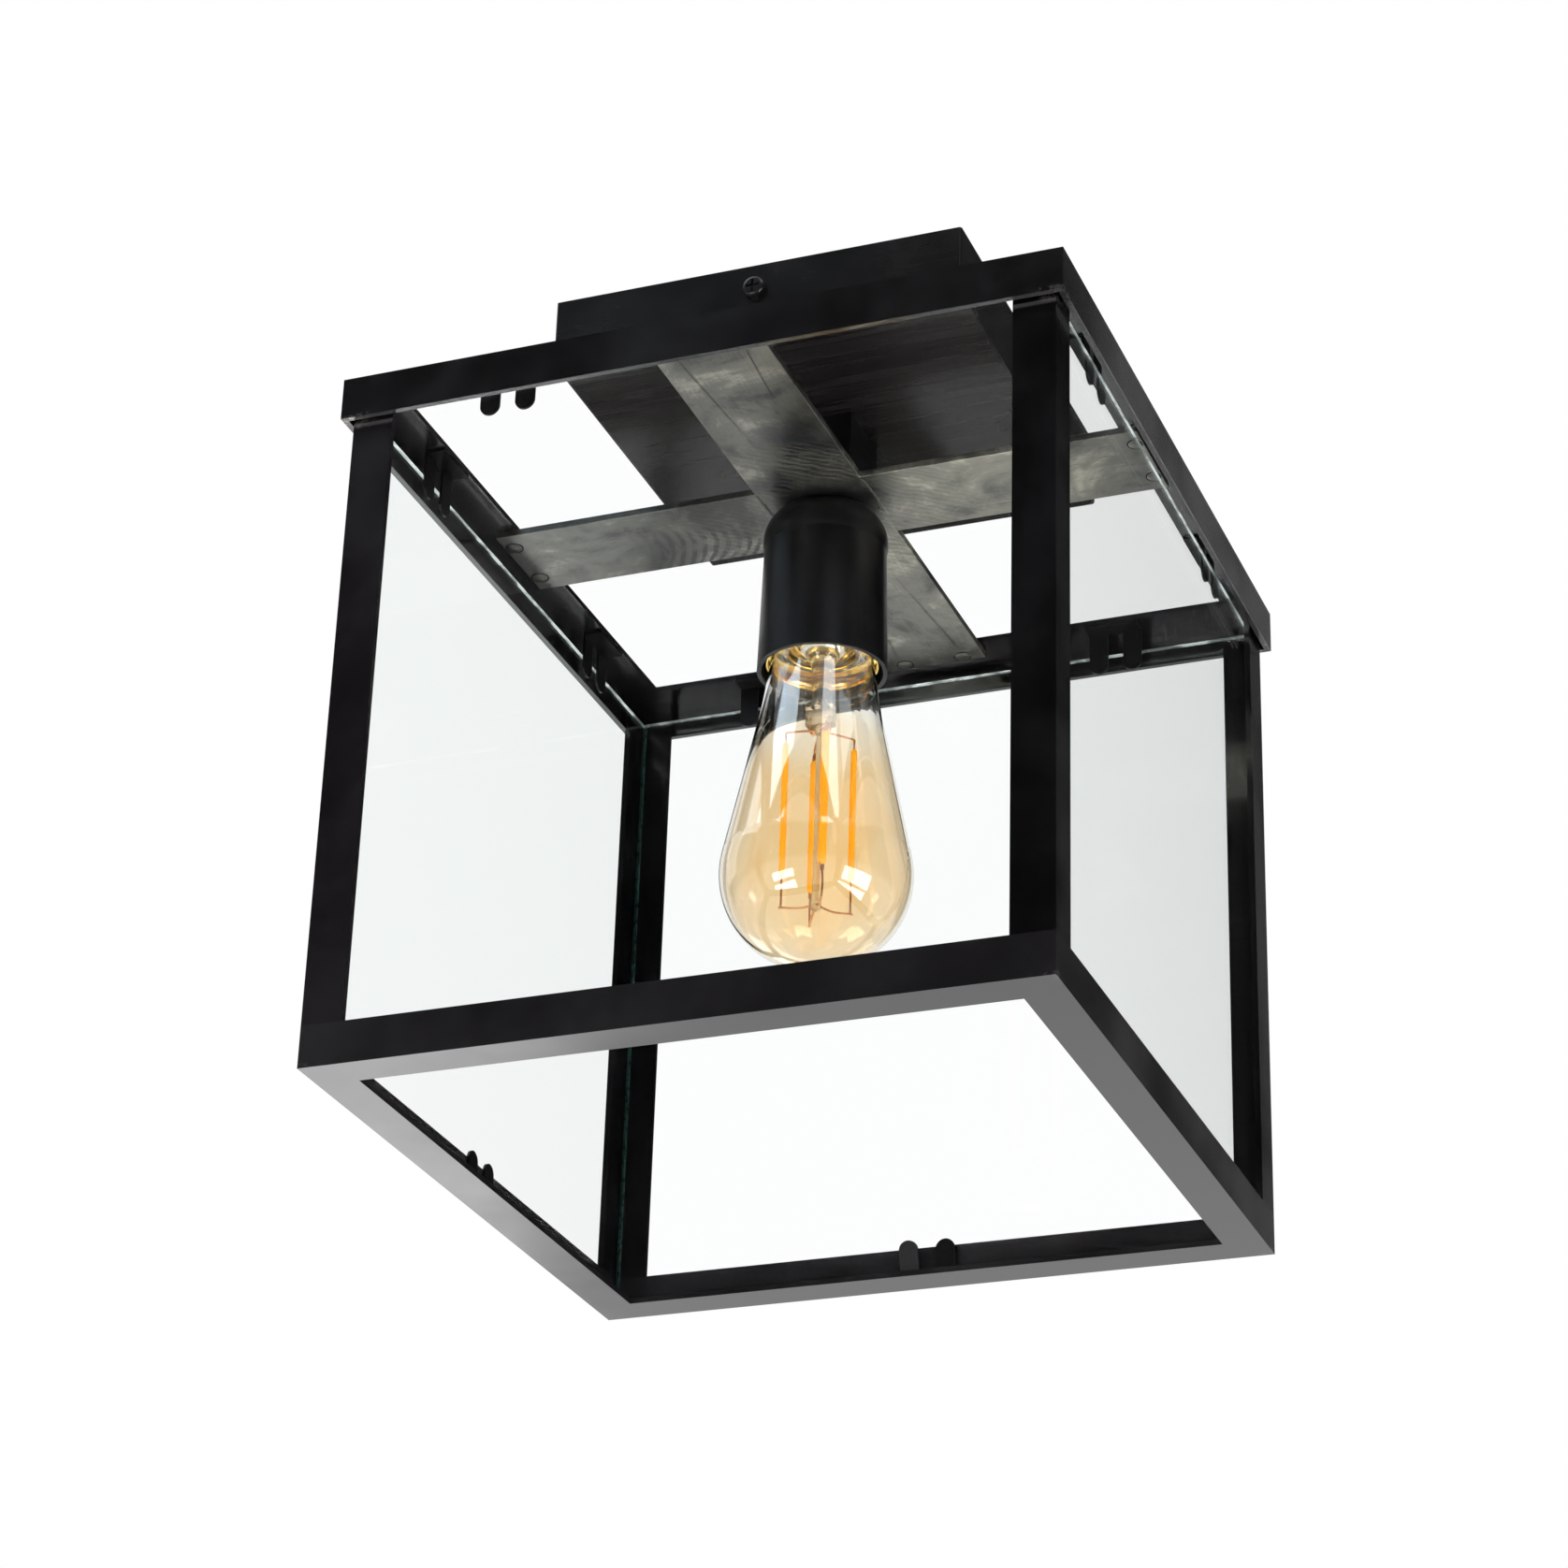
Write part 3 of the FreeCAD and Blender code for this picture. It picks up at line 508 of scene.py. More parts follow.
@dataclass(frozen=True)
class PaneGlass:
    """Clear float glass with a green depth and ground edges.

    The top edge, higher than `lip_level` in metres, and the upward faces of the edges get a pale
    painted highlight and a faint painted glow of piped light.
    """

    name: str = "pane_glass"
    tint: Colour = (0.998, 1.0, 0.999)
    edge: Colour = (0.010, 0.055, 0.046)
    painted_top_highlight: Colour = (0.58, 0.61, 0.60)
    piped: float = 0.30
    piped_colour: Colour = (0.90, 1.0, 0.98)
    lip_level: float = -0.06232
    index: float = 1.15
    depth_colour: Colour = (0.36, 0.90, 0.76)
    depth: float = 9.0

    def make(self, across: int) -> bpy.types.Material:
        """The material for a pane.

        Args:
            across: the axis through the pane's thickness, 0 for x and 1 for y.

        Returns:
            The material.
        """
        bench = NodeBench(self.name + "_" + "xy"[across])
        facing = bench.add("SeparateXYZ", Vector=bench.add("TexCoord").outputs["Normal"]).outputs
        uneven = bench.band(bench.noise(bench.place(), 75.0, 4.0), 0.42, 0.60, 0.15, 1.0)
        lip = bench.times(uneven, bench.band(bench.axes()[2], self.lip_level - 0.0001,
                                             self.lip_level))
        cut = bench.band(bench.size(facing[across]), 0.3, 0.8, 1.0, 0.0)
        ground = bench.most(cut, lip)
        grit = bench.band(bench.noise(bench.place(), 500.0, 3.0), *CLOUDED, 0.2, 0.5)
        # painted highlight and glow: the top edge and upward faces are made pale and faintly
        # glowing
        painted_top_share = bench.most(lip, bench.times(bench.band(facing[2], 0.4, 0.9), uneven))
        edges = bench.blend(painted_top_share, self.edge, self.painted_top_highlight)
        bench.set(Base_Color=bench.blend(ground, self.tint, edges), IOR=self.index,
                  Roughness=bench.times(ground, grit),
                  Transmission_Weight=bench.band(ground, 0.0, 1.0, 1.0, 0.45),
                  Emission_Strength=bench.times(painted_top_share, self.piped),
                  Emission_Color=self.piped_colour)
        inside = bench.add("VolumeAbsorption", Color=self.depth_colour, Density=self.depth)
        bench.fill(bench.output, {"Volume": inside.outputs["Volume"]})
        return bench.material


@dataclass(frozen=True)
class Phosphor:
    """The orange coat of the light strips, faintly glowing."""

    core: Colour = (0.95, 0.52, 0.03)
    edge: Colour = (0.88, 0.36, 0.02)
    glow: Colour = (1.0, 0.48, 0.03)
    strength: float = 0.45

    def make(self) -> bpy.types.Material:
        """The material."""
        bench = NodeBench("filament_phosphor")
        clouds = bench.noise(bench.place(), 600.0, 3.0)
        bench.set(Base_Color=bench.blend(clouds, self.core, self.edge), Roughness=0.55,
                  Emission_Color=self.glow, Emission_Strength=self.strength)
        bench.bump(clouds, 0.00008)
        return bench.material


# ---- forming ---------------------------------------------------------------


def ease_in(share: float) -> float:
    """A smooth step that is 0 at 0 and 1 at 1."""
    share = min(max(share, 0.0), 1.0)
    return share * share * (3.0 - 2.0 * share)


def rounded(part: float, power: float = 0.75) -> float:
    """A cosine or sine drawn towards a squarer outline."""
    return math.copysign(abs(part) ** power, part)


def around(count: int) -> list[float]:
    """Angles of evenly spaced points round a circle."""
    return [2.0 * math.pi * k / count for k in range(count)]


def polar(radius: float, angle: float, level: float = 0.0) -> Vector:
    """A point at a distance and a bearing from the upright axis."""
    return Vector((radius * math.cos(angle), radius * math.sin(angle), level))


def up(level: float) -> Vector:
    """A step straight up."""
    return Vector((0.0, 0.0, level))


class Former:
    """Builds one mesh, in millimetres, from skinned rows of points."""

    tab_outline: Outline = (
        (0.14, -0.62), (0.14, 0.62), (0.07, 0.70), (-0.07, 0.70), (-0.14, 0.62), (-0.14, -0.62),
        (-0.07, -0.70), (0.07, -0.70))
    tab_ease: float = 0.15
    tab_end: float = 0.8
    wire_steps: int = 6
    wire_start: Vector = Vector((0.31, 0.52, 0.13))

    def __init__(self) -> None:
        """Start with no points."""
        self.made = bmesh.new()

    def skin(self, rows: Sequence[Sequence[Vector]], closed: bool = False) -> None:
        """Quads between rows of points that each close on themselves.

        Args:
            rows: rows with the same number of points.
            closed: join the last row to the first instead of capping both ends.
        """
        rings = [[self.made.verts.new(point * MM) for point in row] for row in rows]
        if closed:
            rings.append(rings[0])
        count = len(rings[0])
        for first, second in zip(rings, rings[1:]):
            for k in range(count):
                after = (k + 1) % count
                self.made.faces.new((first[k], first[after], second[after], second[k]))
        if not closed:
            for ring in (rings[0], rings[-1]):
                middle = self.made.verts.new(sum((v.co for v in ring), Vector()) / count)
                for k in range(count):
                    self.made.faces.new((ring[k], ring[(k + 1) % count], middle))

    def turned(self, outline: Outline, steps: int, spot: Vector = Vector(),
               hoop: bool = False) -> None:
        """A solid turned about an upright axis.

        Args:
            outline: radius and height of each point, from axis to axis or round a hoop.
            steps: points round the axis.
            spot: where the axis stands.
            hoop: the outline closes on itself and stays clear of the axis.
        """
        self.skin([[spot + polar(r, a, z) for a in around(steps)]
                   for r, z in (outline if hoop else outline[1:-1])], closed=hoop)

    def wire(self, bends: Sequence[Vector], radius: float, sides: int = 10) -> None:
        """A round wire led smoothly through its bends.

        Args:
            bends: points that the wire passes.
            radius: the wire's radius.
            sides: points round the wire.
        """
        ends = [bends[0] * 2 - bends[1], *bends, bends[-1] * 2 - bends[-2]]
        line = []
        for a, b, c, d in zip(ends, ends[1:], ends[2:], ends[3:]):
            for k in range(self.wire_steps):
                t = k / self.wire_steps
                line.append(0.5 * (b * 2 + (c - a) * t + (a * 2 - b * 5 + c * 4 - d) * t * t
                                   + (b * 3 - a - c * 3 + d) * t * t * t))
        line.append(bends[-1])
        rows, side = [], self.wire_start
        for k, point in enumerate(line):
            along = (line[min(k + 1, len(line) - 1)] - line[max(k - 1, 0)]).normalized()
            side = (side - along * side.dot(along)).normalized()
            across = along.cross(side)
            rows.append([point + (side * math.cos(a) + across * math.sin(a)) * radius
                         for a in around(sides)])
        self.skin(rows)

    def tab(self, place: Vector, out: Vector, low: float, high: float) -> None:
        """A small flat metal tab that stands upright.

        Args:
            place: where it stands, seen from above.
            out: the way its thin side faces.
            low: its foot.
            high: its top.
        """
        side = Vector((-out.y, out.x, 0.0))
        self.skin([[place + out * (thin * share) + side * (wide * share) + up(level)
                    for thin, wide in self.tab_outline]
                   for level, share in ((low, self.tab_end), (low + self.tab_ease, 1.0),
                                        (high - self.tab_ease, 1.0), (high, self.tab_end))])

    def piece(self, name: str, body: str, slot: str, material: bpy.types.Material,
              *nodes: str) -> None:
        """Finish the mesh and put it in the scene.

        Args:
            name: the piece's name.
            body: the body that it rides on.
            slot: the record's material slot; not used.
            material: its finish.
            nodes: the CAD nodes that it stands for.
        """
        bmesh.ops.recalc_face_normals(self.made, faces=self.made.faces)
        for face in self.made.faces:
            face.smooth = True
        for edge in self.made.edges:
            edge.smooth = edge.calc_face_angle(math.pi) < SMOOTH_BELOW
        mesh = bpy.data.meshes.new(name)
        self.made.to_mesh(mesh)
        self.made.free()
        mesh.materials.append(material)
        piece = bpy.data.objects.new(name, mesh)
        bpy.context.scene.collection.objects.link(piece)
        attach(piece, body)
        if nodes:
            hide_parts(*nodes)
        LOG.info("made %s: %d faces", name, len(mesh.polygons))


# ---- sub-assemblies --------------------------------------------------------


def dress(material: bpy.types.Material, *nodes: str) -> None:
    """Give CAD nodes their finish."""
    for node in nodes:
        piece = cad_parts[node]
        piece.data.materials.clear()
        piece.data.materials.append(material)
        LOG.info("dressed %s with %s", node, material.name)


def soften(*nodes: str) -> None:
    """Ease the sharp edges of CAD nodes with modifiers."""
    for node in nodes:
        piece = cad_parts[node]
        piece.modifiers.new("close_seams", "WELD").merge_threshold = SEAM_GAP
        ease = piece.modifiers.new("eased_edges", "BEVEL")
        ease.width, ease.segments = EASED_WIDTH, 2
        ease.limit_method, ease.angle_limit = "ANGLE", EASED_ABOVE
        ease.harden_normals = False


@dataclass
class Cage:
    """Angle-iron cage, lid frame, clear panes and their fingers."""

    lid_steel: BlackenedSteel = BlackenedSteel(
        "blackened_lid_steel", (0.0034, 0.0030, 0.0033), (0.0092, 0.0082, 0.0088), index=1.55)
    # colour of the painted sheen on the outer face of the right lid rail
    lid_painted_sheen: Colour = (0.088, 0.086, 0.090)
    post_steel: BlackenedSteel = BlackenedSteel(
        "blackened_post_steel", (0.0016, 0.0015, 0.0018), (0.0055, 0.0048, 0.0056), index=1.52)
    left_post_steel: BlackenedSteel = BlackenedSteel(
        "blackened_left_post_steel", (0.0062, 0.0050, 0.0062), (0.0150, 0.0122, 0.0150),
        index=1.58)
    finger_steel: BlackenedSteel = BlackenedSteel(
        "blackened_finger_steel", (0.0030, 0.0028, 0.0030), (0.0080, 0.0074, 0.0080),
        rough=(0.30, 0.40), index=1.22)
    rail_steel: BlackenedSteel = BlackenedSteel(
        "blackened_rail_steel", (0.0095, 0.0086, 0.0096), (0.0205, 0.0185, 0.0205))
    glass: PaneGlass = PaneGlass()

    def build(self) -> None:
        """Dress the rails, posts, panes and fingers."""
        fingers = self.finger_steel.make(Grain.ALONG_Z)
        for grain, across, sides in ((Grain.ALONG_X, 1, ("front", "back")),
                                     (Grain.ALONG_Y, 0, ("left", "right"))):
            for part, finish in (("bottom_rail_", self.rail_steel.make(grain)),
                                 ("lid_rail_", self.lid_steel.make(grain)),
                                 ("pane_fingers_", fingers),
                                 ("glass_pane_", self.glass.make(across))):
                dress(finish, *(part + side for side in sides))
            soften(*("glass_pane_" + side for side in sides))
        # the right lid rail gets the lid steel with a painted sheen on its outer face
        wear_and_sheen = replace(self.lid_steel, name="painted_sheen_lid_steel", painted_sheen=self.lid_painted_sheen)
        dress(wear_and_sheen.make(Grain.ALONG_Y), "lid_rail_right")
        dress(self.post_steel.make(Grain.ALONG_Z), "post_front_right", "post_back_right",
              "post_back_left")
        dress(self.left_post_steel.make(Grain.ALONG_Z), "post_front_left")


@dataclass
class Cross:
    """Flat bars under the lid, with their rivets and weld seams, in millimetres."""

    steel: RawSteel = RawSteel()
    rim_black: SatinPaint = SatinPaint("rivet_rim_black", (0.003, 0.003, 0.003),
                                       (0.008, 0.008, 0.007), 1.2, (0.5, 0.6))
    under: float = -55.5
    half_width: float = 19.0
    rivet_out: float = 112.2
    rivet_spread: float = 11.0
    rivet_steps: int = 36
    rivet_outline: Outline = (
        (0.0, -0.62), (1.1, -0.58), (2.0, -0.44), (2.7, -0.16), (2.9, 0.0), (1.8, 0.02),
        (1.8, 4.5), (2.6, 4.5), (2.45, 4.95), (1.6, 5.15), (0.0, 5.2))
    rim_outline: Outline = (
        (2.8, 0.05), (2.8, -0.12), (2.95, -0.16), (3.15, -0.12), (3.25, 0.05))
    weld_rows: int = 76
    weld_sides: int = 12
    weld_inset: float = 0.4
    weld_wide: float = 1.25
    weld_high: float = 0.24

    def build(self) -> None:
        """Dress the bars and add the rivets and the ground welds."""
        along = self.steel.make(Grain.ALONG_X)
        dress(self.steel.make(Grain.ALONG_Y), "cross_bar_long")
        dress(along, "cross_arm_left", "cross_arm_right")
        soften("cross_bar_long", "cross_arm_left", "cross_arm_right")
        self.rivets(self.rivet_outline).piece(
            "cross_rivet_heads", LANTERN, "rivet_steel",
            self.steel.make(Grain.ALONG_X, "rivet_steel"), "cross_rivets")
        self.rivets(self.rim_outline, True).piece(
            "cross_rivet_rims", LANTERN, "rivet_steel", self.rim_black.make())
        self.welds().piece("cross_weld_seams", LANTERN, "raw_steel", along)

    def rivets(self, outline: Outline, hoop: bool = False) -> Former:
        """One turned shape at each of the eight rivets' places.

        Args:
            outline: radius and height from the underside of the bars.
            hoop: the outline closes on itself.

        Returns:
            The former with all eight.
        """
        former = Former()
        shape = tuple((r, self.under + z) for r, z in outline)
        for turn in range(4):
            for side in (-1, 1):
                spot = Matrix.Rotation(turn * math.pi / 2, 3, "Z") @ Vector(
                    (self.rivet_out, side * self.rivet_spread, 0.0))
                former.turned(shape, self.rivet_steps, spot, hoop)
        return former

    def welds(self) -> Former:
        """Two flat ground seams where the arms meet the long bar."""
        former = Former()
        chance = random.Random(11)
        for side in (-1, 1):
            rows = []
            for row in range(self.weld_rows + 1):
                share = row / self.weld_rows
                y = (2.0 * share - 1.0) * (self.half_width - self.weld_inset)
                swell = math.sin(math.pi * share) ** 0.3
                wide = (self.weld_wide + 0.25 * math.sin(row * 0.9)
                        + chance.uniform(-0.1, 0.1)) * swell
                high = (self.weld_high + 0.05 * math.sin(row * 1.7)) * swell
                rows.append([Vector((side * self.half_width + wide * math.cos(a), y,
                                     self.under + high * math.sin(a)))
                             for a in around(self.weld_sides)])
            former.skin(rows)
        return former


@dataclass
class Canopy:
    """Ceiling tray, spacer and everything inside the tray."""

    # the tray's underside is lightened as a painted reflection
    coat: SatinPaint = SatinPaint(under=(0.021, 0.0190, 0.0180))
    spacer: SatinPaint = SatinPaint("spacer_black", (0.0016, 0.0015, 0.0015),
                                    (0.0036, 0.0034, 0.0033), 1.25, (0.4, 0.5))
    screws: SatinPaint = SatinPaint("screw_black", (0.010, 0.010, 0.010), (0.024, 0.023, 0.022))
    zinc: PlatedMetal = PlatedMetal("zinc_steel", (0.62, 0.62, 0.60), (0.45, 0.45, 0.44),
                                    (0.25, 0.4))
    brass: PlatedMetal = PlatedMetal("brass", (0.70, 0.50, 0.22), (0.50, 0.34, 0.14), (0.2, 0.35))
    leads: tuple[tuple[str, Colour], ...] = (
        ("live_lead", (0.14, 0.055, 0.02)), ("neutral_lead", (0.03, 0.13, 0.5)),
        ("earth_lead", (0.16, 0.42, 0.05)))

    def build(self) -> None:
        """Dress the tray and its fittings."""
        dress(self.coat.make(), "canopy_tray")
        dress(self.spacer.make(Grain.ALONG_Z), "spacer_tube")
        dress(self.screws.make(), "canopy_side_screws")
        dress(self.zinc.make(), "ceiling_bracket", "threaded_nipple", "canopy_nut",
              "lampholder_nut", "terminal_screws")
        dress(self.brass.make(), "earth_screw", "lampholder_terminals", "socket_shell",
              "centre_contact")
        dress(Moulded("terminal_plastic", (0.82, 0.82, 0.79)).make(), "terminal_block")
        for node, colour in self.leads:
            dress(Moulded("lead_" + node, colour).make(), node)


@dataclass
class Lampholder:
    """Domed cup and its moulded insert."""

    cup: Moulded = Moulded("holder_black", (0.0020, 0.0017, 0.0019), 0.36, 0.000003, 1.33)
    insert: Moulded = Moulded("holder_ceramic", (0.8, 0.79, 0.74), 0.2)

    def build(self) -> None:
        """Dress the cup and the insert."""
        dress(self.cup.make(), "lampholder_cup")
        dress(self.insert.make(), "lampholder_insert")


@dataclass
class Bulb:
    """Amber bulb with its threaded cap, collar, stem, wires and light strips.

    Sizes are in millimetres. A star's wire is a path of points, each with its distance
    from the axis, its share of the wire's sideways bend, and its level.
    """

    gold: PlatedMetal = PlatedMetal("bulb_brass", (0.93, 0.68, 0.20), (0.80, 0.53, 0.12),
                                    (0.06, 0.16))
    copper: PlatedMetal = PlatedMetal("wire_metal", (0.86, 0.50, 0.30), (0.62, 0.34, 0.19),
                                      (0.35, 0.5))
    solder: PlatedMetal = PlatedMetal("tip_solder", (0.55, 0.55, 0.54), (0.42, 0.42, 0.41),
                                      (0.22, 0.4))
    insulator: Moulded = Moulded("insulator_black", (0.02, 0.02, 0.022), 0.15)
    glass: ClearGlass = ClearGlass("amber_glass", (0.998, 0.83, 0.575), fade=(-0.150, -0.132),
                                   painted_rim_sheen=0.85)
    stem: ClearGlass = ClearGlass("stem_glass", (0.93, 0.86, 0.72), milk=0.30)
    cap_low: float = -110.0
    cap_high: float = -87.0
    cap_r: float = 13.1
    cap_wall: float = 0.45
    cap_roof: float = 0.1
    cap_neck_r: float = 10.1
    cap_neck_level: float = -85.8
    cap_rows: int = 92
    cap_steps: int = 80
    thread_pitch: float = 3.63
    thread_depth: float = 1.0
    thread_start: float = 4.0
    thread_run: float = 1.6
    tip_steps: int = 48
    tip_outline: Outline = (
        (0.0, -83.8), (4.0, -83.8), (4.0, -83.35), (3.75, -83.05), (3.2, -82.85), (2.4, -82.7),
        (1.4, -82.62), (0.0, -82.6))
    ring_r: float = 11.5
    ring_turn: float = 30.0
    strip_top: float = -143.0
    strip_foot: float = -196.0
    strip_wide: float = 1.32
    strip_thick: float = 1.05
    strip_end: float = 1.6
    strip_rows: int = 60
    strip_sides: int = 16
    tab_length: float = 2.2
    tab_hidden: float = 1.0
    wire_r: float = 0.36
    upper_arm: Path = ((1.2, 0.0, -139.9), (5.175, 1.0, -140.5), (9.89, 0.6, -141.4),
                       (11.5, 0.0, -141.9), (11.5, 0.0, -143.6))
    lower_arm: Path = ((1.2, 0.0, -203.6), (5.75, 1.0, -205.1), (11.5, 0.0, -205.3),
                       (12.0, 0.0, -205.6))
    hook: Path = ((11.5, 0.0, -195.4), (11.5, 0.6, -200.0), (11.5, 0.0, -204.8),
                  (11.8, -0.5, -205.65))
    press_lead: Path = ((3.3, 0.0, -134.5), (3.5, 0.0, -138.6), (3.0, 0.3, -140.4),
                        (1.4, 0.2, -140.2))
    press_lead_r: float = 0.432

    def build(self) -> None:
        """Dress the bulb's pieces and add the ones with finer shapes."""
        gold = self.gold.make()
        dress(gold, "bulb_collar")
        dress(self.insulator.make(), "cap_insulator")
        dress(self.glass.make(), "bulb_glass")
        dress(self.stem.make(), "bulb_stem")
        self.cap().piece("threaded_cap", BULB, "bulb_brass", gold, "bulb_cap")
        tip = Former()
        tip.turned(self.tip_outline, self.tip_steps)
        tip.piece("solder_tip", BULB, "bulb_brass", self.solder.make(), "cap_tip")
        self.strips().piece("light_strips", BULB, "filament_phosphor", Phosphor().make(),
                            "filaments")
        self.wires().piece("star_wires", BULB, "wire_metal", self.copper.make(),
                           "filament_wires")

    def ring(self) -> list[Vector]:
        """Places of the strips around the rod, seen from above."""
        return [polar(self.ring_r, math.radians(self.ring_turn + 90.0 * k)) for k in range(4)]

    def thread(self, level: float, angle: float) -> float:
        """Outside radius of the cap's rolled wall at a level and a bearing in radians."""
        rise = level - self.cap_low
        start = ease_in((rise - self.thread_start) / self.thread_run)
        end = ease_in((self.cap_high - level) / self.thread_run)
        wave = 0.5 - 0.5 * math.cos(2.0 * math.pi * rise / self.thread_pitch - angle)
        return self.cap_r - self.thread_depth * wave * start * end

    def cap(self) -> Former:
        """A thin rolled cap with a rounded thread and a drawn-in end."""
        former = Former()
        angles = around(self.cap_steps)
        length = self.cap_high - self.cap_low
        levels = [self.cap_low + length * k / self.cap_rows for k in range(self.cap_rows + 1)]
        outer = [[(self.thread(z, a), z) for a in angles] for z in levels]
        for share in (0.25, 0.5, 0.75, 1.0):
            turn = share * math.pi / 2.0
            r = self.cap_neck_r + (self.cap_r - self.cap_neck_r) * math.cos(turn)
            z = self.cap_high + (self.cap_neck_level - self.cap_high) * math.sin(turn)
            outer.append([(r, z)] * self.cap_steps)
        inner = [[(r - self.cap_wall, z if z < self.cap_high else z - self.cap_roof)
                  for r, z in row] for row in reversed(outer)]
        former.skin([[polar(r, a, z) for (r, z), a in zip(row, angles)]
                     for row in outer + inner], closed=True)
        return former

    def strips(self) -> Former:
        """Four upright strips with rounded ends and a faintly uneven coat."""
        former = Former()
        low, high = self.strip_foot + self.tab_length, self.strip_top - self.tab_length
        for place in self.ring():
            out, side = place.normalized(), Vector((-place.y, place.x, 0.0)).normalized()
            rows = []
            for row in range(self.strip_rows + 1):
                z = low + (high - low) * (row / self.strip_rows)
                near = min(z - low, high - z) / self.strip_end
                swell = math.sqrt(max(0.02, 1.0 - (1.0 - min(near, 1.0)) ** 2))
                swell *= 1.0 + 0.035 * noise.noise(place * 3.0 + up(z * 0.35))
                rows.append([place + up(z) + (
                    out * (self.strip_thick * rounded(math.cos(a)))
                    + side * (self.strip_wide * rounded(math.sin(a)))) * swell
                    for a in around(self.strip_sides)])
            former.skin(rows)
        return former

    def wires(self) -> Former:
        """Wire stars, end tabs of the strips and the two leads out of the press."""
        former = Former()
        chance = random.Random(5)
        tab = self.tab_length + self.tab_hidden
        for place in self.ring():
            out = place.normalized()
            side = Vector((-out.y, out.x, 0.0)) * chance.uniform(-0.5, 0.5)
            for path in (self.upper_arm, self.lower_arm, self.hook):
                former.wire([out * far + side * bend + up(level) for far, bend, level in path],
                            self.wire_r)
            for low in (self.strip_foot, self.strip_top - tab):
                former.tab(place, out, low, low + tab)
        for side in (-1, 1):
            former.wire([Vector((side * x, y, z)) for x, y, z in self.press_lead],
                        self.press_lead_r)
        return former


# ---- studio ----------------------------------------------------------------


class WorldBench(Wiring):
    """The world's nodes."""

    def __init__(self, name: str) -> None:
        """Start the world of that name and make it the scene's."""
        bpy.context.scene.world = bpy.data.worlds.new(name)
        super().__init__(bpy.context.scene.world)
        self.sky = self.add("Background", Color=(1.0, 1.0, 1.0))
        self.add("OutputWorld", Surface=self.sky.outputs[0])

    def way(self) -> Socket:
        """The way that a ray goes."""
        return self.add("TexCoord").outputs["Generated"]

    def toward(self, aim: Sequence[float]) -> Socket:
        """How nearly a ray goes a given way, 1 when it does."""
        dot = self.add("VectorMath")
        dot.operation = "DOT_PRODUCT"
        self.plug(dot.inputs[0], self.way())
        self.plug(dot.inputs[1], aim)
        return dot.outputs["Value"]

    def mix(self, share: Socket, first: object, second: object) -> Socket:
        """A mix of two numbers, by the share of the second."""
        node = self.add("Mix")
        for index, item in ((0, share), (2, first), (3, second)):
            self.plug(node.inputs[index], item)
        return node.outputs[0]


@dataclass(frozen=True)
class Panel:
    """One soft rectangular light, placed by its bearing and rise from the lantern."""

    name: str
    bearing: float
    rise: float
    away: float
    width: float
    height: float
    bright: float
    colour: Colour = (1.0, 1.0, 1.0)
    mirror_only: bool = True
    middle: Point = (0.0, 0.0, -0.19)

    def build(self) -> None:
        """Add the lamp, facing the lantern."""
        data = bpy.data.lights.new(self.name, "AREA")
        data.shape, data.size, data.size_y = "RECTANGLE", self.width, self.height
        data.energy = self.bright * math.pi * self.width * self.height
        data.color = self.colour
        lamp = bpy.data.objects.new(self.name, data)
        bearing, rise = math.radians(self.bearing), math.radians(self.rise)
        out = Vector((math.sin(bearing) * math.cos(rise), math.cos(bearing) * math.cos(rise),
                      math.sin(rise)))
        lamp.location = Vector(self.middle) + out * self.away
        lamp.rotation_mode = "QUATERNION"
        lamp.rotation_quaternion = (-out).to_track_quat("-Z", "Y")
        lamp.visible_camera = False
        lamp.visible_diffuse = not self.mirror_only
        bpy.context.scene.collection.objects.link(lamp)


